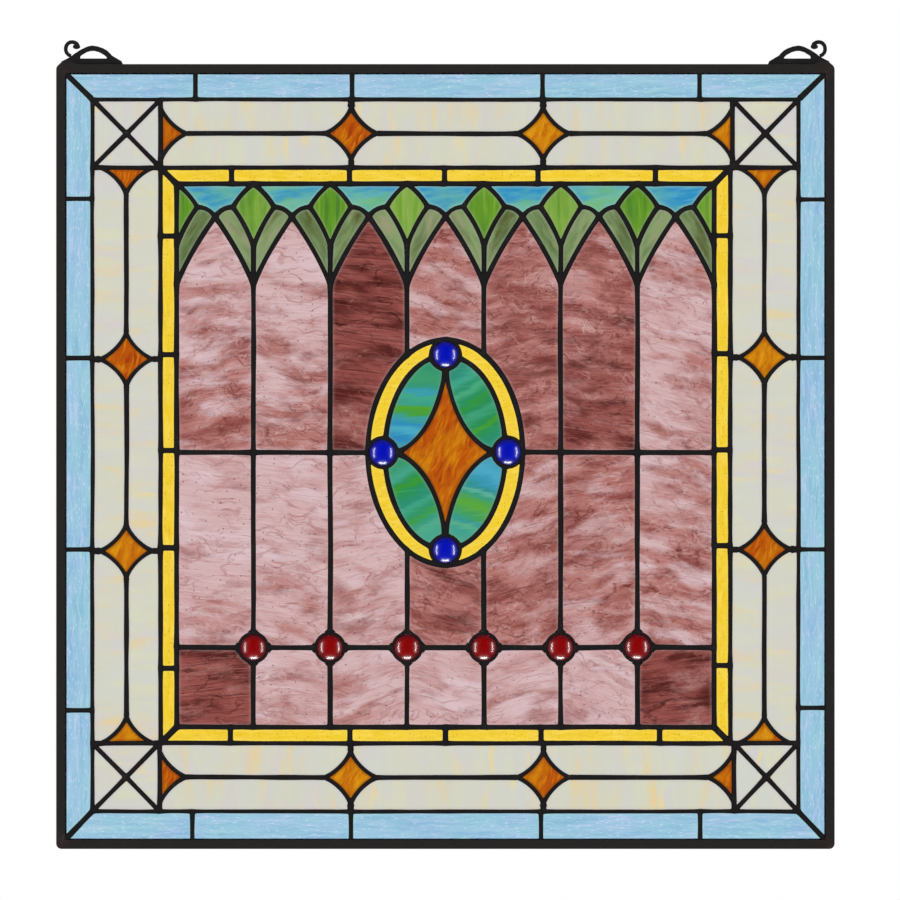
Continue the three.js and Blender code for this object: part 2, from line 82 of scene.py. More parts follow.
def makeCamera():
    data = bpy.data.cameras.new("camera")
    camera = bpy.data.objects.new("camera", data)
    scene.collection.objects.link(camera)
    aim = frameMiddle + Vector((studio["aimRight"], 0.0, studio["aimUp"]))
    camera.location = aim - Vector((0.0, studio["cameraAway"], 0.0))
    pointAt(camera, aim)
    data.sensor_width = studio["sensor"]
    data.lens = studio["sensor"] * studio["cameraAway"] / studio["viewWidth"]
    scene.camera = camera


def areaLight(name, place, target, width, height, power):
    data = bpy.data.lights.new(name, "AREA")
    data.shape = "RECTANGLE"
    data.size, data.size_y, data.energy = width, height, power
    lamp = bpy.data.objects.new(name, data)
    scene.collection.objects.link(lamp)
    lamp.location = place
    pointAt(lamp, target)
    lamp.visible_camera = False
    return lamp


def makeStudio():
    scene.view_settings.view_transform = "Standard"
    world = bpy.data.worlds.new("studioWorld")
    world.use_nodes = True
    background = world.node_tree.nodes["Background"]
    background.inputs["Color"].default_value = (1.0, 1.0, 1.0, 1.0)
    background.inputs["Strength"].default_value = studio["worldLight"]
    scene.world = world

    areaLight("keyLight", frameMiddle + Vector(studio["keyPlace"]), frameMiddle,
              studio["keySize"], studio["keySize"], studio["keyPower"])
    floorLevel = low("frame_bottom").z - studio["floorDrop"]
    reach = studio["floorReach"]
    mesh = bpy.data.meshes.new("floor")
    mesh.from_pydata([(-reach, -reach, floorLevel), (reach, -reach, floorLevel),
                      (reach, reach, floorLevel), (-reach, reach, floorLevel)], [], [(0, 1, 2, 3)])
    floor = bpy.data.objects.new("floor", mesh)
    scene.collection.objects.link(floor)
    pale = bpy.data.materials.new("palePaint")
    pale.use_nodes = True
    shader = pale.node_tree.nodes["Principled BSDF"]
    shader.inputs["Base Color"].default_value = studio["paint"]
    shader.inputs["Roughness"].default_value = 0.9
    mesh.materials.append(pale)


makeCamera()
makeStudio()
print("studio made")

# Places in the panel's plane are pairs, x to the right and z up, as the lead lines' middles.
sheetMargin = 0.6 * mm  # from a sheet's edge in the frame to the middle of the lead line beside it
fieldLeft = low("purple_row_lower").x - sheetMargin
fieldRight = high("purple_row_lower").x + sheetMargin
fieldBottom = low("purple_row_lower").z - sheetMargin
fieldTop = high("teal_frieze").z + sheetMargin
middleLine = low("purple_row_upper").z - sheetMargin
jewelLine = high("purple_row_lower").z + sheetMargin
fieldMiddle = (fieldTop + fieldBottom) / 2
yellowWidth = high("yellow_border").z + sheetMargin - fieldTop
bandInner = yellowWidth
bandOuter = high("cream_band").z + sheetMargin - fieldTop
bandMiddle = (bandInner + bandOuter) / 2
bandHalf = (bandOuter - bandInner) / 2
sightTop, sightBottom = low("frame_top").z, high("frame_bottom").z
sightLeft, sightRight = high("frame_left").x, low("frame_right").x
channelReach = 3.0 * mm  # how far the border glass goes into the channel
columns = 7
columnPitch = (fieldRight - fieldLeft) / columns

glassFront, glassBack = -1.5 * mm, 1.5 * mm

lines = {  # half widths of the lead lines
    "bandOuter": 1.6 * mm,
    "bandInner": 1.8 * mm,
    "field": 1.95 * mm,
    "bandMiddle": 1.9 * mm,
    "diamond": 1.6 * mm,
    "cross": 1.8 * mm,
    "blueDivider": 1.75 * mm,
    "yellowDivider": 1.95 * mm,
    "mitre": 2.3 * mm,
    "frieze": 1.8 * mm,
    "arch": 1.9 * mm,
    "column": 1.95 * mm,
    "row": 2.05 * mm,
    "outerOval": 2.1 * mm,
    "innerOval": 2.0 * mm,
    "star": 1.75 * mm,
    "seat": 1.6 * mm,
    "redSeat": 1.25 * mm,
}

# Where hands have set the dividers of each side, in millimetres from the side's middle: to the
# right on the top and bottom sides, up on the uprights. The corner squares' sides were set a
# little further out at some ends.
handPlaced = {
    "top": {"blue": (-195.9, -73.2, 76.1, 199.2), "diamond": (-73.8, 76.6),
            "yellow": (-167.7, -75.2, -0.7, 72.5, 164.7), "corners": (0, 1.7)},
    "bottom": {"blue": (-198.6, -74.0, 74.9, 199.6), "diamond": (-74.2, 76.8),
               "yellow": (-168.5, -74.8, 0.1, 74.9, 167.8), "corners": (0.9, 2.8)},
    "left": {"blue": (-199.5, -73.7, 76.4, 201.1), "diamond": (-75.0, 75.4),
             "yellow": (-167.0, -72.5, 3.9, 78.8, 172.1), "corners": (0, 0)},
    "right": {"blue": (-197.9, -73.7, 76.4, 200.7), "diamond": (-73.6, 77.0),
              "yellow": (-164.4, -70.5, 4.5, 79.8, 172.5), "corners": (0, 0)},
}

tulip = {
    "halfWidth": 16.15 * mm,
    "sideDrop": 18.2 * mm,
    "footDrop": 48.8 * mm,
    "swell": 1.3 * mm,
    "waist": 1.3 * mm,
    "archTopDrop": 25.9 * mm,
    "archFootDrop": 78.9 * mm,
    "archSwell": 1.75 * mm,
    "shoulderSwell": 2.2 * mm,
}
paneMarks = {  # a place in each pane: its depth below the field's top, unless said otherwise
    "bud": 20 * mm,
    "halfBudIn": 6 * mm,  # in from the field's side
    "teal": 8 * mm,
    "leaf": 40 * mm,
    "leafIn": 13 * mm,  # in from the column's line
    "upper": 60 * mm,
    "middle": 20 * mm,  # above the ruby jewels
}
medallion = {
    "outer": (60.75 * mm, 88.3 * mm),
    "inner": (47.3 * mm, 76.0 * mm),
    "starHollow": 0.21,
    "seatMiddle": 11.45 * mm,  # the middle of the solder ring round a jewel
    "redSeatMiddle": 11.3 * mm,
}
diamondReach = 20.2 * mm
diamondHollow = 2.4 * mm
widened = {  # how much wider lines get at a joint, and over what length
    "diamondOuter": (1.1 * mm, 6 * mm),
    "diamondInner": (0.4 * mm, 4 * mm),
    "redSeat": (3.1 * mm, 3.2 * mm),
    "starTip": (0.9 * mm, 10 * mm),
}

leadLines = []
flares = []  # where lines of some kinds widen into the solder of a joint


def lead(points, kind):
    leadLines.append({"points": np.array(points, float), "kind": kind, "half": lines[kind]})


def flare(at, kinds, joint):
    flares.append((np.array(at, float), kinds, *widened[joint]))


def pairsRound(places):
    # each place with the next one, and the last with the first
    return zip(places, places[1:] + places[:1])


def curve(start, pull, end, share):
    # the place at a share of the way from start to end, drawn towards pull
    return (1 - share) ** 2 * start + 2 * share * (1 - share) * pull + share**2 * end


def bow(start, end, swell, steps=12):
    # a curve from start to end that swells to the left of the way
    start, end = np.array(start, float), np.array(end, float)
    along = end - start
    left = np.array((-along[1], along[0])) / np.linalg.norm(along)
    pull = (start + end) / 2 + left * 2 * swell
    return curve(start, pull, end, np.linspace(0, 1, steps + 1)[:, None])


def ovalPoints(middle, reach, start, end, steps):
    turn = np.linspace(start, end, steps + 1)
    return np.stack((middle[0] + reach[0] * np.cos(turn), middle[1] + reach[1] * np.sin(turn)), 1)


# Each side places a point from the distance along it and the distance out from the field's edge.
def sidePlace(side):
    if side == "top":
        return lambda s, t: (s, fieldTop + t)
    if side == "bottom":
        return lambda s, t: (s, fieldBottom - t)
    if side == "left":
        return lambda s, t: (fieldLeft - t, fieldMiddle + s)
    return lambda s, t: (fieldRight + t, fieldMiddle + s)


def sideReach(side):
    return (fieldRight - fieldLeft) / 2 if side in ("top", "bottom") else (fieldTop - fieldBottom) / 2


def hiddenEdge(side):
    # how far out from the field the border glass ends, inside the channel
    return {"top": sightTop - fieldTop, "bottom": fieldBottom - sightBottom,
            "left": fieldLeft - sightLeft, "right": sightRight - fieldRight}[side] + channelReach


amberTones = {  # half diamond, diamond, diamond, half diamond along each side
    "top": (0.45, 0.80, 0.15, 0.55), "bottom": (0.80, 0.20, 0.75, 0.45),
    "left": (0.30, 0.32, 0.90, 0.90), "right": (0.40, 0.75, 0.05, 0.60),
}
sideNames = ("top", "right", "bottom", "left")
panes = []  # every pane of glass: its name, its kind, a point in it and how it was cut


def pane(name, kind, at, along, node, tone=0.5, **more):
    panes.append({"name": name, "kind": kind, "at": at, "along": along, "node": node,
                  "tone": tone, **more})


def rectangleLines(t, kind):
    corners = [(fieldLeft - t, fieldBottom - t), (fieldRight + t, fieldBottom - t),
               (fieldRight + t, fieldTop + t), (fieldLeft - t, fieldTop + t)]
    for start, end in pairsRound(corners):
        lead([start, end], kind)
    return corners


def drawBorders():
    hidden = [(sightLeft - channelReach, sightBottom - channelReach),
              (sightRight + channelReach, sightBottom - channelReach),
              (sightRight + channelReach, sightTop + channelReach),
              (sightLeft - channelReach, sightTop + channelReach)]
    for start, end in pairsRound(hidden):
        lead([start, end], "seat")
    outer = rectangleLines(bandOuter, "bandOuter")
    inner = rectangleLines(bandInner, "bandInner")
    field = rectangleLines(0.0, "field")
    for start, end in zip(hidden, outer):
        lead([start, end], "mitre")
    for start, end in zip(inner, field):
        lead([start, end], "mitre")
    for side in sideNames:
        drawSide(side)
    for wayX, x in ((-1, fieldLeft - bandMiddle), (1, fieldRight + bandMiddle)):
        for wayZ, z in ((-1, fieldBottom - bandMiddle), (1, fieldTop + bandMiddle)):
            height = "bottom" if wayZ < 0 else "top"
            name = height + ("Left" if wayX < 0 else "Right")
            shift = handPlaced[height]["corners"][wayX > 0] * mm / 2
            middle, half = x + wayX * shift, bandHalf - shift
            for toX, toZ in ((1, 1), (-1, 1), (-1, -1), (1, -1)):
                lead([(middle, z), (middle + toX * half, z + toZ * bandHalf)], "cross")
            for turn, (toX, toZ) in enumerate(((1, 0), (0, 1), (-1, 0), (0, -1))):
                pane(f"creamCorner_{name}_{turn + 1}", "cream",
                     (middle + toX * half * 0.6, z + toZ * bandHalf * 0.6),
                     (1, 0) if wayX * wayZ > 0 else (0, 1), "cream_band", tone=0.25)


def drawSide(side):
    place, reach, hidden = sidePlace(side), sideReach(side), hiddenEdge(side)
    flat = side in ("top", "bottom")
    along, across = ((1, 0), (0, 1)) if flat else ((0, 1), (1, 0))
    hand = {what: [s * mm for s in handPlaced[side][what]] for what in ("blue", "diamond", "yellow")}
    tones = amberTones[side]
    for s in hand["blue"]:
        lead([place(s, bandOuter), place(s, hidden)], "blueDivider")
    for s in hand["yellow"]:
        lead([place(s, 0), place(s, yellowWidth)], "yellowDivider")
    ends = [reach + bandInner + extra * mm for extra in handPlaced[side]["corners"]]
    for way, end in zip((-1, 1), ends):
        foot, tip = way * end, way * (end - diamondReach)
        lead([place(foot, bandInner), place(foot, bandOuter)], "bandInner")
        for up in (-1, 1):
            start, stop = place(foot, bandMiddle + up * diamondReach), place(tip, bandMiddle)
            lead(bowTowards(start, stop, place(foot, bandMiddle), diamondHollow), "diamond")
        pane(f"amberHalfDiamond_{side}_{1 if way < 0 else 2}", "amber",
             place(way * (end - 0.3 * diamondReach), bandMiddle), (0.4, 1),
             f"half_diamond_{side}_{halfNumber(side, way)}", tone=tones[3 if way > 0 else 0])
    for number, s in enumerate(hand["diamond"]):
        tips = [place(s + diamondReach, bandMiddle), place(s, bandMiddle + diamondReach),
                place(s - diamondReach, bandMiddle), place(s, bandMiddle - diamondReach)]
        for start, stop in pairsRound(tips):
            lead(bowTowards(start, stop, place(s, bandMiddle), diamondHollow), "diamond")
        lead([tips[1], place(s, bandOuter)], "blueDivider")
        lead([tips[3], place(s, bandInner)], "bandMiddle")
        flare(tips[1], ("blueDivider",), "diamondOuter")
        flare(tips[3], ("bandMiddle",), "diamondInner")
        pane(f"amberDiamond_{side}_{number + 1}", "amber", place(s, bandMiddle), (0.4, 1),
             f"diamond_{side}_{halfNumber(side, 1 if number else -1)}", tone=tones[1 + number])
    stops = [diamondReach - ends[0]]
    for s in hand["diamond"]:
        stops += [s - diamondReach, s + diamondReach]
    stops.append(ends[1] - diamondReach)
    for start, stop in zip(stops[::2], stops[1::2]):
        lead([place(start, bandMiddle), place(stop, bandMiddle)], "bandMiddle")
    blueEnds = [-(reach + bandOuter), *hand["blue"], reach + bandOuter]
    for number, (start, stop) in enumerate(zip(blueEnds, blueEnds[1:])):
        pane(f"bluePane_{side}_{number + 1}", "blue",
             place((start + stop) / 2, (bandOuter + hidden) / 2), along, "blue_border")
    yellowEnds = [-reach, *hand["yellow"], reach]
    for number, (start, stop) in enumerate(zip(yellowEnds, yellowEnds[1:])):
        pane(f"yellowPane_{side}_{number + 1}", "yellow",
             place((start + stop) / 2, yellowWidth / 2), along, "yellow_border")
    creamEnds = [-ends[0], *hand["diamond"], ends[1]]
    for number, (start, stop) in enumerate(zip(creamEnds, creamEnds[1:])):
        for row, t in (("outer", bandMiddle + bandHalf / 2), ("inner", bandMiddle - bandHalf / 2)):
            pane(f"creamPane_{side}_{row}_{number + 1}", "cream",
                 place((start + stop) / 2, t), across, "cream_band")


def halfNumber(side, way):
    # the frame counts each side's pieces clockwise
    forward = {"top": 1, "right": -1, "bottom": -1, "left": 1}[side]
    return 2 if way * forward > 0 else 1


def bowTowards(start, stop, middle, hollow):
    # a curve between two points that is drawn in towards the middle
    start, stop, middle = (np.array(p, float) for p in (start, stop, middle))
    along = stop - start
    left = np.array((-along[1], along[0]))
    way = 1 if np.dot(left, middle - (start + stop) / 2) > 0 else -1
    return bow(start, stop, way * hollow)


def columnLine(i):
    return fieldLeft + i * columnPitch


def drop(x, down):
    return (x, fieldTop - down)


def drawFrieze():
    tones = {"bud": (0.9, 0.55, 0.85, 0.15, 0.6, 0.35, 0.8, 0.7),
             "teal": (0.55, 0.25, 0.6, 0.75, 0.5, 0.3, 0.65),
             "leaf": (0.8, 0.35, 0.5, 0.6, 0.7, 0.2, 0.25, 0.45, 0.6, 0.3, 0.4, 0.55, 0.3, 0.75)}
    for i in range(columns + 1):
        x = columnLine(i)
        tip, foot = drop(x, 0), drop(x, tulip["footDrop"])
        for way in (-1, 1):
            if (i == 0 and way < 0) or (i == columns and way > 0):
                continue
            side = drop(x + way * tulip["halfWidth"], tulip["sideDrop"])
            lead(bow(tip, side, way * tulip["swell"]), "frieze")
            lead(bow(side, foot, -way * tulip["waist"]), "frieze")
        inset = paneMarks["halfBudIn"] * ((i == 0) - (i == columns))
        pane(f"budPane_{i + 1}", "bud", drop(x + inset, paneMarks["bud"]), (0, 1), f"bud_{i + 1}",
             tone=tones["bud"][i])
        if 0 < i < columns:
            lead([foot, drop(x, tulip["archFootDrop"])], "column")
    for i in range(columns):
        left, right = columnLine(i), columnLine(i + 1)
        middle = (left + right) / 2
        tip = drop(middle, tulip["archTopDrop"])
        leftSide = drop(left + tulip["halfWidth"], tulip["sideDrop"])
        rightSide = drop(right - tulip["halfWidth"], tulip["sideDrop"])
        leftFoot, rightFoot = drop(left, tulip["archFootDrop"]), drop(right, tulip["archFootDrop"])
        lead(bow(leftSide, tip, tulip["shoulderSwell"]), "frieze")
        lead(bow(tip, rightSide, tulip["shoulderSwell"]), "frieze")
        lead(bow(leftFoot, tip, tulip["archSwell"]), "arch")
        lead(bow(tip, rightFoot, tulip["archSwell"]), "arch")
        pane(f"tealPane_{i + 1}", "teal", drop(middle, paneMarks["teal"]), (1, 0.12), "teal_frieze",
             tone=tones["teal"][i], fade=-0.7)
        lean = math.atan2(tulip["archFootDrop"] - tulip["archTopDrop"], columnPitch / 2)
        for way, x in ((1, left), (-1, right)):
            name = "left" if way > 0 else "right"
            pane(f"leafPane_{i + 1}_{name}", "leaf",
                 drop(x + way * paneMarks["leafIn"], paneMarks["leaf"]),
                 (way * math.cos(lean), math.sin(lean)), "leaf_frieze",
                 tone=tones["leaf"][2 * i + (way < 0)])


def seatPoint(middle, radius, turn):
    return (middle[0] + radius * math.cos(turn), middle[1] + radius * math.sin(turn))


blueJewels = {name: tuple(np.array((low(f"blue_jewel_{name}") + high(f"blue_jewel_{name}")) / 2)[[0, 2]])
              for name in ("top", "right", "bottom", "left")}
redJewels = [tuple(np.array((low(f"red_jewel_{i}") + high(f"red_jewel_{i}")) / 2)[[0, 2]])
             for i in range(1, columns)]
quarter = math.pi / 2


def drawField():
    reach = medallion["outer"]
    seat = medallion["redSeatMiddle"]
    for i in range(1, columns):
        x = columnLine(i)
        jewel = redJewels[i - 1]
        above = below = middleLine
        if abs(x) < reach[0]:
            rise = reach[1] * math.sqrt(1 - (x / reach[0]) ** 2)
            above, below = middleLine + rise, middleLine - rise
        lead([drop(x, tulip["archFootDrop"]), (x, above)], "column")
        lead([(x, below), seatPoint(jewel, seat, quarter)], "column")
        lead([seatPoint(jewel, seat, -quarter), (x, fieldBottom)], "column")
        lead(ovalPoints(jewel, (seat, seat), quarter, quarter + 4 * quarter, 64), "redSeat")
        for turn in range(4):
            flare(seatPoint(jewel, seat, turn * quarter), ("column", "row"), "redSeat")
        pane(f"redJewel_{i}", "ruby", jewel, (1, 0), f"red_jewel_{i}", jewel=True)
    stops = [(fieldLeft, jewelLine)]
    for jewel in redJewels:
        stops += [seatPoint(jewel, seat, math.pi), seatPoint(jewel, seat, 0)]
    stops.append((fieldRight, jewelLine))
    for start, stop in zip(stops[::2], stops[1::2]):
        lead([start, stop], "row")
    lead([(fieldLeft, middleLine), seatPoint(blueJewels["left"], medallion["seatMiddle"], math.pi)],
         "row")
    lead([seatPoint(blueJewels["right"], medallion["seatMiddle"], 0), (fieldRight, middleLine)], "row")
    # each pane's tone, and how much deeper it is at its foot than at its head
    tones = {
        "upper": ((0.28, 0.35), (0.20, 0.25), (0.98, -0.35), (0.34, 0.0), (0.60, 0.1), (0.64, 0.35),
                  (0.26, -0.1)),
        "middle": ((0.12, 0.1), (0.14, 0.25), (0.12, 0.1), (0.64, 0.0), (0.44, 0.2), (0.44, -0.1),
                   (0.30, 0.1)),
        "lower": ((0.92, 0.0), (0.14, 0.0), (0.16, 0.0), (0.12, 0.0), (0.15, 0.0), (0.11, 0.0),
                  (0.92, 0.0)),
    }
    heights = {"upper": fieldTop - paneMarks["upper"], "middle": jewelLine + paneMarks["middle"],
               "lower": (jewelLine + fieldBottom) / 2}
    slants = {"upper": (0.15, -0.05, -0.1, -0.2, 0.1, -0.1, -0.25),
              "middle": (-0.08, -0.15, 0.2, -0.3, 0.3, 0.15, -0.2),
              "lower": (0.1, -0.1, 0.3, -0.2, 0.2, -0.3, 0.1)}
    for row, height in heights.items():
        for i in range(columns):
            tone, fade = tones[row][i]
            pane(f"purplePane_{row}_{i + 1}", "purple", (columnLine(i + 0.5), height),
                 (1, slants[row][i]), f"purple_row_{row}", tone=tone, fade=fade)


def seatTurn(reach, jewel, start, end):
    # the oval's turn at which it comes to the solder ring of a jewel, between two turns
    for _ in range(50):
        half = (start + end) / 2
        at = (reach[0] * math.cos(half), middleLine + reach[1] * math.sin(half))
        near = math.dist(at, jewel) < medallion["seatMiddle"]
        start, end = (start, half) if near else (half, end)
    return start


def drawMedallion():
    seat = medallion["seatMiddle"]
    order = ("right", "top", "left", "bottom")
    for turn, name in enumerate(order):
        nextName = order[(turn + 1) % 4]
        jewel, nextJewel = blueJewels[name], blueJewels[nextName]
        start, end = turn * quarter, (turn + 1) * quarter
        for edge in ("outer", "inner"):
            reach = medallion[edge]
            half = (start + end) / 2
            first = seatTurn(reach, jewel, half, start)
            last = seatTurn(reach, nextJewel, half, end)
            lead(ovalPoints((0, middleLine), reach, first, last, 40), edge + "Oval")
        lead(ovalPoints(jewel, (seat, seat), start + math.pi, start + math.pi + 4 * quarter, 64), "seat")
        tip = seatPoint(jewel, seat, start + math.pi)
        nextTip = seatPoint(nextJewel, seat, end + math.pi)
        hollow = medallion["starHollow"]
        pull = np.array(((tip[0] + nextTip[0]) * hollow,
                         middleLine + (tip[1] + nextTip[1] - 2 * middleLine) * hollow))
        lead(curve(np.array(tip), pull, np.array(nextTip), np.linspace(0, 1, 25)[:, None]), "star")
        flare(tip, ("star",), "starTip")
        pane(f"blueJewel_{name}", "cobalt", jewel, (1, 0), f"blue_jewel_{name}", jewel=True)
        slant = (start + end) / 2
        height = "upper" if math.sin(slant) > 0 else "lower"
        way = "right" if math.cos(slant) > 0 else "left"
        for kind, node, first, second in (("yellow", "gold_arc", "outer", "inner"),
                                          ("petal", "petal", "inner", None)):
            if second:
                share = [(medallion[first][axis] + medallion[second][axis]) / 2 for axis in (0, 1)]
            else:
                share = [medallion["inner"][axis] * 0.7 for axis in (0, 1)]
            at = (share[0] * math.cos(slant), middleLine + share[1] * math.sin(slant))
            title = "goldArc" if second else "petalPane"
            pane(f"{title}_{height}_{way}", kind, at, (1, 0.12), f"{node}_{height}_{way}")
    pane("medallionStar", "amber", (0, middleLine), (0.45, 1), "medallion_star", tone=0.62)


drawBorders()
drawFrieze()
drawField()
drawMedallion()
print("drawing:", len(leadLines), "lead lines,", len(panes), "panes and jewels")


netSteps = {
    "apart": 1e-7,  # points nearer than this are one
    "join": 0.15 * mm,  # an end this near to another line joins it
    "straight": 7 * mm,
    "curved": 3.0 * mm,
    "nearNode": (1.3 * mm, 3.2 * mm),
    "lookAlong": 2.0 * mm,
}
handWork = {
    "drift": 0.45 * mm,  # how far a hand-made line strays
    "driftLength": 85 * mm,
    "waver": 0.10 * mm,
    "waverLength": 24 * mm,
    "thickness": 0.09,  # share by which a line's width changes along its way
    "thicknessLength": 30 * mm,
    "jewelReach": 30 * mm,  # nearer to a jewel than this the lines begin to move with it
    "jewelFade": 16 * mm,
    "uneven": 0.12 * mm,  # how much the solder's height varies
    "unevenPerMetre": 90,
}
solderPool = {  # the pool at each joint
    "reach": 3.4 * mm,
    "spread": 0.45 * mm,
    "height": 0.30 * mm,
    "lump": (0.75, 0.7),  # least share, and how much more some have
    "lumpsPerMetre": 61,
}
cornerShape = {  # where two sides of a pane meet, with turns in radians
    "bend": 0.35,  # a turn beyond this starts a new side
    "inwards": 0.2,
    "outwards": -0.3,
    "cutShare": 0.45,  # the most of a side that one rounded corner takes
}


def cutPolyline(points, places):
    # the pieces of a polyline between cuts given as (segment, share of the segment, point)
    pieces, current = [], [points[0]]
    places = sorted(places, key=lambda cut: (cut[0], cut[1]))
    place = 0
    for segment in range(len(points) - 1):
        while place < len(places) and places[place][0] == segment:
            at = places[place][2]
            apart = np.linalg.norm(at - current[-1]) > netSteps["apart"]
            if apart or len(current) > 1:
                if apart:
                    current.append(at)
                else:
                    current[-1] = at
                pieces.append(np.array(current))
            current = [at]
            place += 1
        if np.linalg.norm(points[segment + 1] - current[-1]) > netSteps["apart"]:
            current.append(points[segment + 1])
    if len(current) > 1:
        pieces.append(np.array(current))
    return pieces


def splitAtJoints(allLines):
    ends = np.array([line["points"][k] for line in allLines for k in (0, -1)])
    pieces = []
    for line in allLines:
        points = line["points"]
        start, step = points[:-1], np.diff(points, axis=0)
        lengths = (step**2).sum(1)
        share = ((ends[:, None, :] - start) * step).sum(2) / lengths
        share = np.clip(share, 0, 1)
        gap = np.linalg.norm(start + share[..., None] * step - ends[:, None, :], axis=2)
        cuts = []
        for number in np.nonzero(gap.min(1) < netSteps["join"])[0]:
            segment = int(gap[number].argmin())
            at = ends[number]
            if min(np.linalg.norm(at - points[0]), np.linalg.norm(at - points[-1])) < netSteps["join"]:
                continue
            if any(np.linalg.norm(at - cut[2]) < netSteps["join"] for cut in cuts):
                continue
            cuts.append((segment, float(share[number, segment]), at))
        for piece in cutPolyline(points, cuts):
            pieces.append({**line, "points": piece})
    return pieces


def wayAlong(points):
    # how far along a polyline each of its points is
    return np.concatenate(([0], np.cumsum(np.linalg.norm(np.diff(points, axis=0), axis=1))))


def atWay(points, way, s):
    # the place, or places, at the distance s along a polyline
    return np.stack([np.interp(s, way, points[:, axis]) for axis in (0, 1)], -1)


def stations(points):
    # places along a line, closer together at its ends and on its curves
    way = wayAlong(points)
    length = way[-1]
    curved = length > 1.0005 * np.linalg.norm(points[-1] - points[0])
    near = [s for s in netSteps["nearNode"] if s < 0.4 * length]
    first = near[-1] if near else 0.0
    count = max(1, round((length - 2 * first) / netSteps["curved" if curved else "straight"]))
    middle = np.linspace(first, length - first, count + 1)
    places = np.unique(np.concatenate(([0.0, length], near, [length - s for s in near], middle)).round(9))
    return atWay(points, way, places), places


jewelMiddles = np.array(list(blueJewels.values()) + redJewels)


def stray(at):
    # how far hand work has moved a place of the drawing
    def drift(x, z):
        big, small = handWork["driftLength"], handWork["waverLength"]
        return np.array([handWork["drift"] * noise.noise((x / big, z / big, 3.0 + 9 * axis))
                         + handWork["waver"] * noise.noise((x / small, z / small, 20.0 + 9 * axis))
                         for axis in (0, 1)])
    moved = drift(*at)
    gaps = np.linalg.norm(jewelMiddles - at, axis=1)
    nearest = int(gaps.argmin())
    hold = np.clip((handWork["jewelReach"] - gaps[nearest]) / handWork["jewelFade"], 0, 1)
    if hold > 0:
        moved = moved * (1 - hold) + drift(*jewelMiddles[nearest]) * hold
    return moved


def makeNet():
    pieces = splitAtJoints(leadLines)
    nodes, edges = [], []

    def nodeAt(at):
        for number, known in enumerate(nodes):
            if abs(known[0] - at[0]) < netSteps["join"] and abs(known[1] - at[1]) < netSteps["join"]:
                return number
        nodes.append(np.array(at))
        return len(nodes) - 1

    for piece in pieces:
        points = piece["points"]
        ends = nodeAt(points[0]), nodeAt(points[-1])
        points = points.copy()
        points[0], points[-1] = nodes[ends[0]], nodes[ends[1]]
        placed, way = stations(points)
        edges.append({"ends": ends, "points": placed, "way": way, "half": piece["half"],
                      "kind": piece["kind"]})
    return nodes, edges


def traceFaces(nodes, edges):
    # every region between the lines, as its edges in order, each forwards or backwards
    leaving = [[] for _ in nodes]
    for number, edge in enumerate(edges):
        for backwards in (False, True):
            points = edge["points"][::-1] if backwards else edge["points"]
            way = wayAlong(points)
            ahead = atWay(points, way, min(netSteps["lookAlong"], way[-1] / 2)) - points[0]
            leaving[edge["ends"][1 if backwards else 0]].append(
                (math.atan2(ahead[1], ahead[0]), number, backwards))
    following = {}
    for around in leaving:
        around.sort()
        for place, (_, number, backwards) in enumerate(around):
            _, nextNumber, nextBackwards = around[place - 1]
            following[(number, not backwards)] = (nextNumber, nextBackwards)
    faces, seen = [], set()
    for start in following:
        if start in seen:
            continue
        face, here = [], start
        while here not in seen:
            seen.add(here)
            face.append(here)
            here = following[here]
        faces.append(face)
    return faces


def faceOutline(face, edges):
    stretches = []
    for number, backwards in face:
        placed = edges[number]["placed"]
        stretches.append((placed[::-1] if backwards else placed)[:-1])
    return np.concatenate(stretches)


def area(outline):
    x, z = outline[:, 0], outline[:, 1]
    return 0.5 * float(np.sum(x * np.roll(z, -1) - np.roll(x, -1) * z))


def inside(at, outline):
    x, z = outline[:, 0] - at[0], outline[:, 1] - at[1]
    x2, z2 = np.roll(x, -1), np.roll(z, -1)
    crosses = (z > 0) != (z2 > 0)
    reach = x + (x2 - x) * (0 - z) / np.where(z2 == z, 1, z2 - z)
    return int(np.sum(crosses & (reach > 0))) % 2 == 1


def dressEdges(nodes, edges):
    # each edge's final places, half widths and heights at its stations
    degree = np.zeros(len(nodes), int)
    for edge in edges:
        for end in edge["ends"]:
            degree[end] += 1
    least, more = solderPool["lump"]
    for number, edge in enumerate(edges):
        edge["placed"] = np.array([at + stray(at) for at in edge["points"]])
        way, length = edge["way"], edge["way"][-1]
        blob = np.zeros(len(way))
        for end, away in ((0, way), (1, length - way)):
            if degree[edge["ends"][end]] >= 3:
                x, z = nodes[edge["ends"][end]] * solderPool["lumpsPerMetre"]
                lump = least + more * noise.noise((x, z, 5.0))
                blob = np.maximum(blob, lump * np.exp(-(away / solderPool["reach"]) ** 2))
        changes = np.array([noise.noise((s / handWork["thicknessLength"] + 0.37 * number, 1.7 * number, 0))
                            for s in way])
        uneven = 1 + handWork["thickness"] * 2 * changes
        edge["halves"] = edge["half"] * uneven + solderPool["spread"] * blob
        for end, away in ((0, way), (1, length - way)):
            for at, kinds, extra, reach in flares:
                gap = np.linalg.norm(nodes[edge["ends"][end]] - at)
                if edge["kind"] in kinds and gap < netSteps["join"]:
                    edge["halves"] = edge["halves"] + extra * np.clip(1 - away / reach, 0, 1)
        spots = edge["points"] * handWork["unevenPerMetre"]
        lift = np.array([noise.noise((x, z, 2.0)) for x, z in spots])
        edge["lifts"] = solderPool["height"] * blob + handWork["uneven"] * lift


def leftNormals(points):
    along = np.gradient(points, axis=0)
    along[0], along[-1] = points[1] - points[0], points[-1] - points[-2]
    along /= np.linalg.norm(along, axis=1)[:, None]
    return np.stack((-along[:, 1], along[:, 0]), 1)


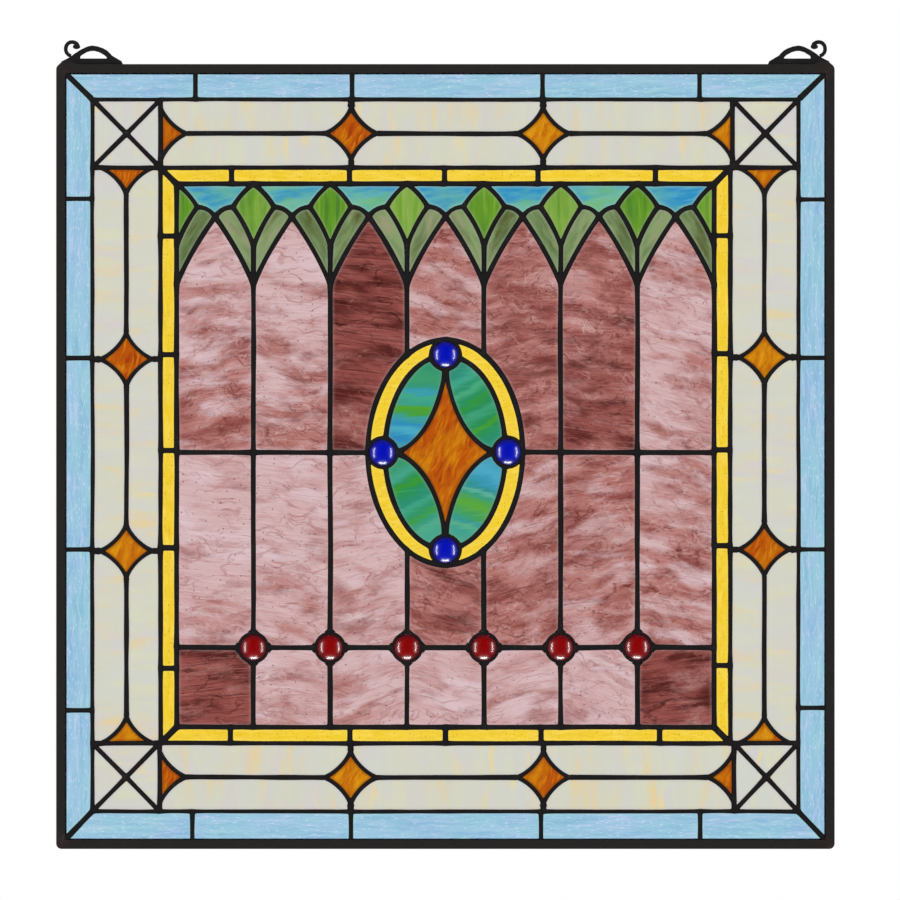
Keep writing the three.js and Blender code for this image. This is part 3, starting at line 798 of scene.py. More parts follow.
def crossing(first, second):
    # where two polylines cross, furthest back along the first
    a, b = first[:-1], np.diff(first, axis=0)
    c, d = second[:-1], np.diff(second, axis=0)
    cross = b[:, None, 0] * d[None, :, 1] - b[:, None, 1] * d[None, :, 0]
    gapX, gapZ = c[None, :, 0] - a[:, None, 0], c[None, :, 1] - a[:, None, 1]
    with np.errstate(divide="ignore", invalid="ignore"):
        t = (gapX * d[None, :, 1] - gapZ * d[None, :, 0]) / cross
        u = (gapX * b[:, None, 1] - gapZ * b[:, None, 0]) / cross
    hits = np.argwhere((t >= 0) & (t <= 1) & (u >= 0) & (u <= 1) & (abs(cross) > 1e-16))
    if not len(hits):
        return None
    i, j = min(hits, key=lambda hit: hit[0])
    return i, t[i, j], j, u[i, j]


def insetRing(runs, extra, fillet):
    # the face's outline, moved in from the lines' middles by their half widths and an extra
    moved = [run["placed"] + (run["halves"] + extra)[:, None] * run["normals"] for run in runs]
    ways = [wayAlong(points) for points in moved]
    count = len(runs)
    starts, ends = [0.0] * count, [way[-1] for way in ways]
    closed = []
    for k in range(count):
        ahead = (k + 1) % count
        leave, arrive = runs[k]["normals"][-1], runs[ahead]["normals"][0]
        turn = float(leave[0] * arrive[1] - leave[1] * arrive[0])
        same = float(np.dot(leave, arrive))
        outwards = same < 0 and turn > cornerShape["outwards"]
        meets = count > 1 and (turn > cornerShape["inwards"] or outwards)
        hit = crossing(moved[k], moved[ahead]) if meets else None
        closed.append(hit is not None)
        if hit is not None:
            i, t, j, u = hit
            ends[k] = ways[k][i] + t * (ways[k][i + 1] - ways[k][i])
            starts[ahead] = ways[ahead][j] + u * (ways[ahead][j + 1] - ways[ahead][j])
        elif turn > cornerShape["inwards"]:
            missedCorners.append(tuple(runs[k]["placed"][-1].round(4)))
    rings = []
    for k in range(count):
        points, way = moved[k], ways[k]
        cut = min(fillet, cornerShape["cutShare"] * max(ends[k] - starts[k], 0.0))
        first = starts[k] + (cut if closed[k - 1] else 0)
        last = ends[k] - (cut if closed[k] else 0)
        middle = (first + last) / 2
        head = (way < first) & (way <= middle) if closed[k - 1] else np.zeros(len(way), bool)
        tail = (way > last) & (way > middle) if closed[k] else np.zeros(len(way), bool)
        rings.append({"ring": points.copy(), "head": int(head.sum()), "tail": int(tail.sum()),
                      "first": atWay(points, way, first), "last": atWay(points, way, last),
                      "end": atWay(points, way, ends[k])})
    for k in range(count):
        here, there = rings[k], rings[(k + 1) % count]
        if not closed[k]:
            middle = (here["ring"][-1] + there["ring"][0]) / 2
            here["ring"][-1] = middle
            there["ring"][0] = middle
            continue
        total = here["tail"] + there["head"]
        for n in range(total):
            share = n / (total - 1) if total > 1 else 0.5
            at = curve(here["last"], here["end"], there["first"], share)
            if n < here["tail"]:
                here["ring"][len(here["ring"]) - here["tail"] + n] = at
            else:
                there["ring"][n - here["tail"]] = at
    return np.concatenate([ring["ring"] for ring in rings])


def faceRuns(face, edges):
    # the face's sides from corner to corner, each with its stations in order
    sides = []
    for number, backwards in face:
        edge = edges[number]
        turned = slice(None, None, -1 if backwards else 1)
        sides.append({name: edge[name][turned] for name in ("placed", "halves", "stations")})

    def bends(k):
        here, there = sides[k]["placed"], sides[(k + 1) % len(sides)]["placed"]
        leave, arrive = here[-1] - here[-2], there[1] - there[0]
        turn = math.atan2(leave[0] * arrive[1] - leave[1] * arrive[0], float(np.dot(leave, arrive)))
        return abs(turn) > cornerShape["bend"]

    bent = [k for k in range(len(sides)) if bends(k)]
    first = (bent[0] + 1) % len(sides) if bent else 0
    sides = sides[first:] + sides[:first]
    runs = []
    for k, side in enumerate(sides):
        if runs and not bends(k - 1):
            runs[-1] = {name: np.concatenate((runs[-1][name][:-1], side[name])) for name in side}
        else:
            runs.append(side)
    for run in runs:
        run["normals"] = leftNormals(run["placed"])
    return runs


missedCorners = []
nodes, edges = makeNet()
dressEdges(nodes, edges)
vertexPlace, vertexLift = [], []


def numberStations():
    # one number for each station, shared where lines meet
    atNode = {}
    for edge in edges:
        numbers = []
        last = len(edge["placed"]) - 1
        for k, at in enumerate(edge["placed"]):
            node = edge["ends"][0] if k == 0 else edge["ends"][1] if k == last else None
            if node is not None and node in atNode:
                number = atNode[node]
                vertexLift[number] = max(vertexLift[number], edge["lifts"][k])
            else:
                number = len(vertexPlace)
                vertexPlace.append(at)
                vertexLift.append(edge["lifts"][k])
                if node is not None:
                    atNode[node] = number
            numbers.append(number)
        edge["stations"] = np.array(numbers)


numberStations()
faces = []
for face in traceFaces(nodes, edges):
    outline = faceOutline(face, edges)
    faces.append({"face": face, "outline": outline, "area": area(outline), "name": None})
for one in panes:
    for face in faces:
        if face["area"] > 0 and face["name"] is None and inside(one["at"], face["outline"]):
            face["name"], face["pane"] = one["name"], one
            break
    else:
        print("no region for", one["name"], one["at"])
print("net:", len(nodes), "nodes,", len(edges), "edges,", len(faces), "regions,",
      sum(face["name"] is None for face in faces), "unnamed,",
      len(vertexPlace), "stations")


def linear(red, green, blue):
    # a colour as painters' tools show it, 0 to 255, turned into light
    return tuple(((c / 255 + 0.055) / 1.055) ** 2.4 if c > 10 else c / 255 / 12.92
                 for c in (red, green, blue)) + (1.0,)


def addNode(tree, kind, inputs=None, **settings):
    node = tree.nodes.new("ShaderNode" + kind)
    for name, value in settings.items():
        setattr(node, name, value)
    for socket, value in (inputs or {}).items():
        if isinstance(value, bpy.types.NodeSocket):
            tree.links.new(value, node.inputs[socket])
        else:
            node.inputs[socket].default_value = value
    return node


def sums(tree, operation, first, second=0.0, third=None):
    inputs = {0: first, 1: second}
    if third is not None:
        inputs[2] = third
    return addNode(tree, "Math", inputs, operation=operation).outputs[0]


def vectorSums(tree, operation, inputs):
    return addNode(tree, "VectorMath", inputs, operation=operation).outputs[0]


def clouds(tree, vector, scale, detail, roughness=0.5, output=0):
    inputs = {"Vector": vector, "Scale": scale, "Detail": detail, "Roughness": roughness}
    return addNode(tree, "TexNoise", inputs).outputs[output]


def ownValue(tree, name, output="Fac"):
    # a value that the piece carries at each of its points
    return addNode(tree, "Attribute", attribute_name=name).outputs[output]


def stretched(tree, value, fromLow, fromHigh, toLow=0.0, toHigh=1.0):
    return addNode(tree, "MapRange", {"Value": value, "From Min": fromLow, "From Max": fromHigh,
                                      "To Min": toLow, "To Max": toHigh},
                   interpolation_type="SMOOTHSTEP").outputs["Result"]


def mixed(tree, share, first, second):
    # the Mix node's sockets 6 and 7 and its output 2 are the ones for colours
    return addNode(tree, "Mix", {0: share, 6: first, 7: second}, data_type="RGBA").outputs[2]


def newGroup(name, inputs, outputs):
    tree = bpy.data.node_groups.new(name, "ShaderNodeTree")
    for direction, sockets in (("INPUT", inputs), ("OUTPUT", outputs)):
        for title, value in sockets.items():
            kind = "NodeSocketVector" if value == "vector" else "NodeSocketFloat"
            socket = tree.interface.new_socket(name=title, in_out=direction, socket_type=kind)
            if kind == "NodeSocketFloat" and direction == "INPUT":
                socket.default_value = value
    return tree, tree.nodes.new("NodeGroupInput").outputs, tree.nodes.new("NodeGroupOutput").inputs


def makeFlowGroup():
    # streaks as the glass was poured: Length and Width in centimetres, Bend how far they wander.
    # Flow is the noise between Low and High, Veins the hairlines where it passes Low, High thick
    tree, given, put = newGroup(
        "glassFlow", {"Vector": "vector", "Length": 3.0, "Width": 0.4, "Bend": 0.5, "BendSize": 3.0,
                      "Detail": 6.0, "Low": 0.35, "High": 0.65, "Seed": 0.0}, {"Flow": 0.0, "Veins": 0.0})
    bendScale = sums(tree, "DIVIDE", 1.0, given["BendSize"])
    swirl = clouds(tree, given["Vector"], bendScale, 1.5, output="Color")
    swirl = vectorSums(tree, "SUBTRACT", {0: swirl, 1: (0.5, 0.5, 0.5)})
    swirl = vectorSums(tree, "SCALE", {0: swirl, "Scale": given["Bend"]})
    moved = vectorSums(tree, "ADD", {0: given["Vector"], 1: swirl})
    shape = addNode(tree, "CombineXYZ", {"X": sums(tree, "DIVIDE", 1.0, given["Length"]),
                                         "Y": sums(tree, "DIVIDE", 1.0, given["Width"]),
                                         "Z": 0.4}).outputs[0]
    seeded = addNode(tree, "CombineXYZ", {"Z": given["Seed"]}).outputs[0]
    drawn = vectorSums(tree, "MULTIPLY_ADD", {0: moved, 1: shape, 2: seeded})
    streaks = clouds(tree, drawn, 1.0, given["Detail"], 0.62)
    tree.links.new(stretched(tree, streaks, given["Low"], given["High"]), put["Flow"])
    smooth = clouds(tree, drawn, 1.0, 2.0)
    away = sums(tree, "ABSOLUTE", sums(tree, "SUBTRACT", smooth, given["Low"]))
    tree.links.new(stretched(tree, away, given["High"], 0.0), put["Veins"])
    return tree


def makeSpeckGroup():
    # small seeds and grit in the glass: Size in centimetres, Share how many cells hold one
    tree, given, put = newGroup(
        "glassSpecks", {"Vector": "vector", "Cell": 0.6, "Size": 0.05, "Share": 0.5, "Stretch": 1.0},
        {"Specks": 0.0})
    shape = addNode(tree, "CombineXYZ", {"X": sums(tree, "DIVIDE", 1.0, given["Stretch"]), "Y": 1.0,
                                         "Z": 1.0}).outputs[0]
    drawn = vectorSums(tree, "MULTIPLY", {0: given["Vector"], 1: shape})
    flat = vectorSums(tree, "MULTIPLY", {0: drawn, 1: (1.0, 1.0, 0.0)})
    cells = addNode(tree, "TexVoronoi", {"Vector": flat, "Scale": sums(tree, "DIVIDE", 1.0, given["Cell"])},
                    voronoi_dimensions="2D")
    chance = addNode(tree, "SeparateColor", {0: cells.outputs["Color"]})
    reach = sums(tree, "MULTIPLY", given["Size"], sums(tree, "DIVIDE", 1.0, given["Cell"]))
    reach = sums(tree, "MULTIPLY", reach, sums(tree, "ADD", chance.outputs[1], 0.4))
    near = stretched(tree, cells.outputs["Distance"], reach, 0.0)
    held = sums(tree, "LESS_THAN", chance.outputs[0], given["Share"])
    tree.links.new(sums(tree, "MULTIPLY", near, held), put["Specks"])
    return tree


def makeRippleGroup():
    # the uneven skin of rolled glass, and of soldered metal
    tree, given, put = newGroup("surfaceRipple", {"Vector": "vector", "Size": 1.0, "Fine": 0.3},
                                {"Height": 0.0})
    broad = clouds(tree, given["Vector"], sums(tree, "DIVIDE", 1.0, given["Size"]), 2.0)
    small = clouds(tree, given["Vector"], sums(tree, "DIVIDE", 4.0, given["Size"]), 3.0)
    tree.links.new(sums(tree, "MULTIPLY_ADD", small, given["Fine"], broad), put["Height"])
    return tree


flowGroup, speckGroup, rippleGroup = makeFlowGroup(), makeSpeckGroup(), makeRippleGroup()


def useGroup(tree, group, inputs, output=0):
    return addNode(tree, "Group", inputs, node_tree=group).outputs[output]


def newMaterial(name, values):
    material = bpy.data.materials.new(name)
    material.use_nodes = True
    tree = material.node_tree
    shader = tree.nodes["Principled BSDF"]
    for socket, value in values.items():
        shader.inputs[socket].default_value = value
    return material, tree, shader


def bumped(tree, shader, height, strength, distance):
    node = addNode(tree, "Bump", {"Height": height, "Strength": strength, "Distance": distance})
    tree.links.new(node.outputs[0], shader.inputs["Normal"])


materials = {}
# Each glass is a pale and a deep mixture, and a pane's tone says how much of each it has. A layer
# is its colour, its share, the streak's length, width, bend and bend's size in centimetres, and
# the part of the noise that it takes up.
# A glass's rim is a colour and strength painted along its panes' edges beside the lead: paler ones are
# painted edge light, the darker amber and cream ones painted shade from the lead.
glassLooks = {
    "blue": {
        "pale": ((156, 197, 226), (
            ((122, 172, 212), 0.65, 6.0, 0.8, 0.8, 3.0, 0.42, 0.64),
            ((184, 208, 234), 0.85, 2.6, 0.15, 0.6, 1.2, 0.48, 0.62),
            ((204, 208, 240), 0.55, 2.0, 0.30, 0.6, 1.2, 0.54, 0.68))),
        "deep": ((150, 200, 220), (
            ((126, 178, 208), 0.6, 5.0, 0.5, 0.8, 3.0, 0.44, 0.64),
            ((176, 214, 226), 0.8, 2.6, 0.16, 0.6, 1.2, 0.48, 0.62))),
        "mingle": 1.2, "specks": ((220, 232, 248), 0.7, 0.20, 0.042, 0.7, 4.0),
        "rim": ((160, 206, 210), 0.45), "rough": 0.2, "ripple": (0.7, 0.3)},
    "cream": {
        "pale": ((211, 214, 206), (
            ((213, 207, 209), 0.80, 6.0, 2.2, 0.8, 4.0, 0.46, 0.60),
            ((219, 220, 190), 0.85, 7.0, 1.6, 0.8, 4.0, 0.50, 0.64),
            ((240, 216, 146), 0.95, 6.0, 1.1, 0.9, 3.0, 0.58, 0.70))),
        "deep": ((214, 214, 194), (
            ((234, 208, 152), 0.90, 6.0, 1.2, 0.8, 3.0, 0.50, 0.66),
            ((208, 206, 202), 0.60, 6.0, 1.2, 0.8, 4.0, 0.50, 0.64))),
        "mingle": 1.0, "rim": ((200, 194, 198), 0.45), "rough": 0.35, "ripple": (1.4, 0.1)},
    "yellow": {
        "pale": ((246, 209, 48), (
            ((254, 224, 96), 0.75, 1.4, 0.4, 0.6, 2.0, 0.46, 0.62),
            ((232, 192, 34), 0.75, 1.0, 0.12, 0.5, 1.0, 0.50, 0.64))),
        "deep": ((242, 204, 44), (
            ((252, 222, 96), 0.70, 1.4, 0.3, 0.6, 2.0, 0.46, 0.62),
            ((226, 184, 34), 0.75, 1.0, 0.10, 0.5, 1.0, 0.50, 0.64))),
        "mingle": 0.6, "specks": ((122, 88, 12), 0.85, 0.30, 0.05, 0.4, 1.0),
        "rim": ((248, 222, 112), 0.3), "rough": 0.15, "ripple": (0.5, 0.5)},
    "teal": {
        "pale": ((116, 186, 158), (
            ((92, 176, 160), 0.8, 3.0, 0.5, 0.8, 2.2, 0.44, 0.62),
            ((112, 182, 96), 0.8, 3.0, 0.9, 0.9, 2.2, 0.50, 0.66))),
        "deep": ((44, 142, 196), (
            ((90, 176, 202), 0.7, 2.6, 0.4, 0.8, 2.2, 0.46, 0.64),
            ((78, 168, 178), 0.8, 2.6, 0.9, 0.8, 2.2, 0.50, 0.66))),
        "mingle": 1.5, "rim": ((146, 194, 186), 0.6), "rough": 0.28, "ripple": (1.0, 0.2)},
    "leaf": {
        "pale": ((138, 158, 108), (
            ((116, 142, 92), 0.8, 2.6, 0.45, 0.7, 2.0, 0.44, 0.62),
            ((162, 150, 124), 0.65, 2.0, 0.7, 0.7, 2.0, 0.52, 0.66))),
        "deep": ((96, 116, 70), (
            ((84, 90, 42), 0.9, 1.8, 0.6, 0.8, 1.8, 0.46, 0.62),
            ((122, 148, 98), 0.7, 2.4, 0.3, 0.6, 2.0, 0.48, 0.64))),
        "mingle": 1.6, "rim": ((146, 162, 136), 0.55), "rough": 0.28, "ripple": (1.0, 0.2)},
    "amber": {
        "pale": ((210, 136, 4), (
            ((226, 158, 22), 0.75, 1.8, 0.35, 0.8, 1.8, 0.48, 0.64),
            ((184, 92, 2), 0.8, 1.6, 0.4, 0.9, 1.6, 0.50, 0.64))),
        "deep": ((184, 82, 0), (
            ((156, 50, 0), 0.85, 1.3, 0.35, 0.9, 1.6, 0.50, 0.64),
            ((214, 132, 12), 0.8, 1.6, 0.22, 0.9, 1.6, 0.50, 0.64))),
        "mingle": 1.3, "rim": ((124, 58, 6), 0.72), "rough": 0.2, "ripple": (0.8, 0.3)},
    "bud": {
        "pale": ((136, 172, 76), (
            ((104, 158, 42), 0.8, 5.0, 0.30, 0.2, 2.0, 0.46, 0.60),
            ((172, 192, 104), 0.6, 5.0, 0.22, 0.2, 2.0, 0.54, 0.66))),
        "deep": ((92, 146, 34), (
            ((70, 122, 48), 0.8, 5.0, 0.5, 0.2, 2.0, 0.48, 0.62),
            ((126, 172, 48), 0.8, 5.0, 0.28, 0.2, 2.0, 0.50, 0.64))),
        "mingle": 0.7, "rim": ((140, 166, 108), 0.6), "rough": 0.28, "ripple": (1.0, 0.2)},
    "purple": {
        "pale": ((211, 176, 178), (
            ((220, 196, 203), 0.75, 7.0, 2.0, 3.0, 6.0, 0.46, 0.66),
            ((186, 128, 123), 0.80, 5.0, 2.2, 4.0, 5.0, 0.48, 0.72),
            ((190, 144, 142), 0.45, 4.5, 0.10, 0.6, 6.0, 0.50, 0.66),
            ((230, 212, 216), 0.45, 4.0, 0.08, 0.6, 6.0, 0.52, 0.66),
            ((150, 82, 76), 0.75, 2.6, 0.22, 2.2, 4.0, 0.60, 0.72)),
            ((150, 80, 74), 0.62, 3.4, 1.1, 2.4, 2.6, 0.50, 0.028)),
        "middle": ((180, 117, 111), (
            ((140, 70, 64), 0.90, 4.6, 1.2, 3.4, 4.5, 0.46, 0.62),
            ((208, 162, 160), 0.80, 5.0, 1.3, 3.0, 5.0, 0.54, 0.68),
            ((206, 160, 156), 0.42, 4.5, 0.11, 0.8, 6.0, 0.52, 0.66),
            ((134, 68, 62), 0.50, 4.0, 0.11, 0.8, 6.0, 0.52, 0.66)),
            ((108, 42, 38), 0.95, 3.0, 1.2, 2.8, 2.4, 0.47, 0.028),
            ((112, 46, 42), 0.85, 2.0, 0.7, 2.6, 2.0, 0.53, 0.028),
            ((226, 192, 188), 0.60, 2.6, 0.9, 2.6, 2.2, 0.50, 0.018)),
        "deep": ((146, 76, 70), (
            ((80, 24, 21), 0.92, 5.0, 1.4, 2.6, 5.0, 0.44, 0.62),
            ((180, 116, 108), 0.60, 4.5, 0.12, 0.8, 6.0, 0.54, 0.68),
            ((66, 18, 18), 0.75, 4.0, 0.12, 0.8, 6.0, 0.50, 0.66)),
            ((52, 12, 12), 0.90, 3.4, 0.9, 2.4, 2.6, 0.47, 0.026),
            ((190, 128, 120), 0.45, 3.0, 0.8, 3.0, 4.0, 0.53, 0.016)),
        "mingle": 0.9, "specks": ((84, 38, 42), 0.9, 0.50, 0.075, 0.3, 1.0),
        "rim": ((214, 188, 190), 0.16), "rough": 0.1, "ripple": (0.9, 0.3)},
}


def layered(tree, flow, mixture, seed):
    base, layers = mixture[:2]
    colour = linear(*base)
    for number, (tint, share, length, width, bend, size, lowest, highest) in enumerate(layers):
        place = flow(length, width, bend, size, lowest, highest, seed + 7.0 * number)
        colour = mixed(tree, sums(tree, "MULTIPLY", place, share), colour, linear(*tint))
    for number, (tint, share, length, width, bend, size, level, thick) in enumerate(mixture[2:]):
        hairs = flow(length, width, bend, size, level, thick, seed + 5.0 * number + 31.0, "Veins")
        where = flow(3.0, 1.1, bend, size, 0.41, 0.55, seed + 3.0 * number + 43.0)
        hairs = sums(tree, "MULTIPLY", hairs, sums(tree, "MULTIPLY", where, share))
        colour = mixed(tree, hairs, colour, linear(*tint))
    return colour


def glassBase(kind, rough):
    # the start that all the glasses share, and their way of reading the pane's own values
    material, tree, shader = newMaterial(kind + "Glass", {
        "Roughness": rough, "Transmission Weight": 1.0, "IOR": 1.45,
        "Specular Tint": (0.15, 0.15, 0.15, 1.0)})
    grain = ownValue(tree, "grain", "Vector")
    cut = addNode(tree, "SeparateXYZ", {0: ownValue(tree, "cut", "Vector")}).outputs

    def flow(length, width, bend, size, lowest, highest, seed, output="Flow"):
        return useGroup(tree, flowGroup, {"Vector": grain, "Length": length, "Width": width, "Bend": bend,
                                          "BendSize": size, "Low": lowest, "High": highest,
                                          "Seed": seed}, output)

    return material, tree, shader, grain, cut, flow


def finishGlass(tree, shader, colour, grain, rim, ripple):
    # painted edge light and shade: the glass's rim colour is mixed in along the pane's edge beside the
    # lead, paler as edge light, darker as shade
    paintedEdgeColour, strength = rim
    atPaintedEdge = sums(tree, "MULTIPLY", ownValue(tree, "rim"), strength)
    colour = mixed(tree, atPaintedEdge, colour, linear(*paintedEdgeColour))
    tree.links.new(colour, shader.inputs["Base Color"])
    size, fine = ripple
    height = useGroup(tree, rippleGroup, {"Vector": grain, "Size": size, "Fine": fine})
    bumped(tree, shader, height, 0.35, 0.6 * mm)


def makeGlass(kind, look):
    material, tree, shader, grain, cut, flow = glassBase(kind, look["rough"])
    pale = layered(tree, flow, look["pale"], 3.0)
    deep = layered(tree, flow, look["deep"], 61.0)
    mingled = sums(tree, "SUBTRACT", flow(5.0, 1.6, 2.0, 4.0, 0.35, 0.65, 97.0), 0.5)
    share = sums(tree, "MULTIPLY_ADD", mingled, 0.5 * look["mingle"], cut["Z"])
    if "middle" in look:
        middle = layered(tree, flow, look["middle"], 31.0)
        colour = mixed(tree, stretched(tree, share, 0.08, 0.52), pale, middle)
        colour = mixed(tree, stretched(tree, share, 0.48, 0.92), colour, deep)
    else:
        colour = mixed(tree, stretched(tree, share, 0.12, 0.88), pale, deep)
    if "specks" in look:
        speckColour, strength, cell, size, often, stretch = look["specks"]
        specks = useGroup(tree, speckGroup, {"Vector": grain, "Cell": cell, "Size": size, "Share": often,
                                             "Stretch": stretch})
        colour = mixed(tree, sums(tree, "MULTIPLY", specks, strength), colour, linear(*speckColour))
    finishGlass(tree, shader, colour, grain, look["rim"], look["ripple"])
    materials[kind] = material


# How much each petal's bands climb to the right, and the bands from its lower to its upper end.
petalBands = {
    "upper_left": (-0.06, ((0.0, (84, 176, 196)), (0.12, (64, 154, 208)), (0.20, (112, 194, 216)),
                           (0.28, (66, 162, 208)), (0.36, (86, 176, 170)), (0.42, (104, 180, 60)),
                           (0.48, (118, 184, 44)), (0.53, (84, 178, 150)), (0.60, (96, 190, 150)),
                           (0.66, (80, 176, 198)), (0.72, (76, 170, 130)), (0.80, (88, 176, 120)),
                           (1.0, (62, 162, 122)))),
    "upper_right": (0.42, ((0.0, (62, 162, 124)), (0.16, (60, 164, 92)), (0.22, (96, 178, 44)),
                           (0.28, (58, 162, 92)), (0.40, (92, 180, 132)), (0.48, (60, 160, 96)),
                           (0.56, (72, 168, 70)), (0.62, (60, 162, 104)), (0.72, (110, 192, 140)),
                           (0.76, (64, 164, 120)), (0.86, (96, 186, 150)), (1.0, (66, 160, 132)))),
    "lower_left": (0.36, ((0.0, (104, 188, 156)), (0.12, (118, 192, 150)), (0.18, (80, 176, 140)),
                          (0.26, (90, 176, 80)), (0.33, (70, 168, 112)), (0.45, (92, 184, 146)),
                          (0.52, (62, 162, 126)), (0.64, (58, 164, 96)), (0.70, (84, 172, 48)),
                          (0.76, (66, 166, 92)), (0.86, (96, 184, 150)), (1.0, (84, 172, 120)))),
    "lower_right": (-0.22, ((0.0, (118, 192, 150)), (0.10, (96, 182, 156)), (0.16, (130, 198, 150)),
                            (0.22, (78, 172, 164)), (0.32, (100, 180, 104)), (0.40, (134, 190, 62)),
                            (0.47, (120, 184, 84)), (0.54, (84, 176, 140)), (0.60, (140, 200, 170)),
                            (0.65, (70, 164, 160)), (0.74, (84, 172, 200)), (0.84, (112, 190, 220)),
                            (1.0, (96, 178, 206)))),
}
petalDepth = (0.67, 0.88, 0.90)  # how much of each band's red, green and blue comes through


def makePetalGlass(place, climb, bands):
    material, tree, shader, grain, cut, flow = glassBase("petal_" + place, 0.28)
    slant = sums(tree, "MULTIPLY_ADD", sums(tree, "SUBTRACT", cut["X"], 0.5), -climb, cut["Y"])
    streaks = flow(9.0, 0.22, 0.4, 2.5, 0.30, 0.70, 5.0)
    waver = flow(3.0, 1.2, 0.5, 2.5, 0.30, 0.70, 15.0)
    slant = sums(tree, "MULTIPLY_ADD", sums(tree, "SUBTRACT", streaks, 0.5), 0.05, slant)
    slant = sums(tree, "MULTIPLY_ADD", sums(tree, "SUBTRACT", waver, 0.5), 0.06, slant)
    bandNode = addNode(tree, "ValToRGB", {0: slant})
    ramp = bandNode.color_ramp
    ramp.interpolation = "EASE"
    while len(ramp.elements) < len(bands):
        ramp.elements.new(0.5)
    for element, (where, colour) in zip(ramp.elements, bands):
        element.position = where
        element.color = linear(*(part * depth for part, depth in zip(colour, petalDepth)))
    light = flow(9.0, 0.12, 0.4, 2.5, 0.56, 0.72, 25.0)
    colour = mixed(tree, sums(tree, "MULTIPLY", light, 0.3), bandNode.outputs["Color"],
                   linear(124, 196, 168))
    # the petals' rim colour is painted edge light along the lead
    finishGlass(tree, shader, colour, grain, ((110, 160, 142), 0.5), (1.0, 0.2))
    materials["petal_" + place] = material


# each jewel's colour at its heart, and at its rim the darker colour painted as shade from the lead round it
jewelLooks = {"cobalt": ((0, 14, 178), (16, 12, 96)), "ruby": ((134, 0, 2), (74, 8, 18))}


def makeJewelGlass(kind, heart, edge):
    material, tree, shader = newMaterial(kind + "Jewel", {
        "Roughness": 0.25, "Transmission Weight": 1.0, "IOR": 1.45, "Specular Tint": (0.0, 0.0, 0.0, 1.0),
        "Coat Weight": 0.04, "Coat Roughness": 0.19, "Coat IOR": 1.5})
    uneven = useGroup(tree, rippleGroup, {"Vector": ownValue(tree, "grain", "Vector"), "Size": 0.5,
                                          "Fine": 0.3})
    # painted shade: the colour darkens towards the jewel's rim
    share = sums(tree, "MULTIPLY_ADD", uneven, 0.16, sums(tree, "SUBTRACT", ownValue(tree, "rim"), 0.08))
    colour = mixed(tree, stretched(tree, share, 0.55, 1.0), linear(*heart), linear(*edge))
    tree.links.new(colour, shader.inputs["Base Color"])
    materials[kind] = material


metalLooks = {
    "lead": {"dark": (22, 20, 21), "worn": (58, 56, 56), "wornShare": 0.5, "rough": (0.42, 0.65),
             "bump": 0.5},
    "frame": {"dark": (34, 31, 31), "worn": (50, 45, 43), "wornShare": 0.6, "rough": (0.5, 0.65),
              "bump": 0.3},
    "hanger": {"dark": (24, 22, 23), "worn": (54, 50, 50), "wornShare": 0.5, "rough": (0.4, 0.6),
               "bump": 0.3},
}


def makeWearGroup():
    # where black patina has thinned: broad clouds broken by fine grit
    tree, given, put = newGroup("patinaWear", {"Vector": "vector", "Size": 12.0, "Grit": 1.2},
                                {"Worn": 0.0})
    broad = clouds(tree, given["Vector"], sums(tree, "DIVIDE", 1.0, given["Size"]), 4.0)
    grit = clouds(tree, given["Vector"], sums(tree, "DIVIDE", 1.0, given["Grit"]), 3.0)
    worn = sums(tree, "MULTIPLY", stretched(tree, broad, 0.45, 0.70), stretched(tree, grit, 0.45, 0.75))
    tree.links.new(worn, put["Worn"])
    return tree


wearGroup = makeWearGroup()


def makeMetal(kind, look):
    material, tree, shader = newMaterial(kind + "Patina", {"Specular IOR Level": 0.10, "IOR": 1.45})
    spot = addNode(tree, "TexCoord").outputs["Object"]
    spot = vectorSums(tree, "SCALE", {0: spot, "Scale": 1000.0})  # in millimetres
    worn = useGroup(tree, wearGroup, {"Vector": spot, "Size": 12.0, "Grit": 1.2})
    colour = mixed(tree, sums(tree, "MULTIPLY", worn, look["wornShare"]), linear(*look["dark"]),
                   linear(*look["worn"]))
    grey = mixed(tree, worn, linear(44, 34, 32), linear(96, 84, 80))
    colour = mixed(tree, sums(tree, "MULTIPLY", ownValue(tree, "solder"), 0.7), colour, grey)
    tree.links.new(colour, shader.inputs["Base Color"])
    tree.links.new(stretched(tree, worn, 0.0, 1.0, *look["rough"][::-1]), shader.inputs["Roughness"])
    height = useGroup(tree, rippleGroup, {"Vector": spot, "Size": 5.0, "Fine": 0.5})
    bumped(tree, shader, height, look["bump"], 0.5 * mm)
    materials[kind] = material


for kind, look in glassLooks.items():
    makeGlass(kind, look)
for place, (climb, bands) in petalBands.items():
    makePetalGlass(place, climb, bands)
for kind, (heart, edge) in jewelLooks.items():
    makeJewelGlass(kind, heart, edge)
for kind, look in metalLooks.items():
    makeMetal(kind, look)
print("finishes made")


leadShape = {
    "proud": 1.25 * mm,  # how far the lead stands off the glass
    "rows": ((0.5, 0.9), (0.82, 0.58), (1.0, -0.03)),  # share of the way out from the middle, of proud
    "web": 0.2,  # where the web between the panes lies, as a share of the way out
    "fillet": 0.8 * mm,
}
paneShape = {
    "edge": 0.38,  # the glass ends under the lead, at this share of the way out
    "rim": 0.9 * mm,  # the band along a pane's edge where edge light and shade is painted
    "inner": 2.4 * mm,
    "apart": 0.02 * mm,
    "rimValues": (1.0, 1.0, 0.45, 0.0),  # how much painted edge light and shade at the pane's edge, the lead's edge, the rim and inside
}


def placePiece(name, mesh, node):
    piece = bpy.data.objects.new(name, mesh)
    scene.collection.objects.link(piece)
    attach(piece, "root")
    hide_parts(node)
    return piece


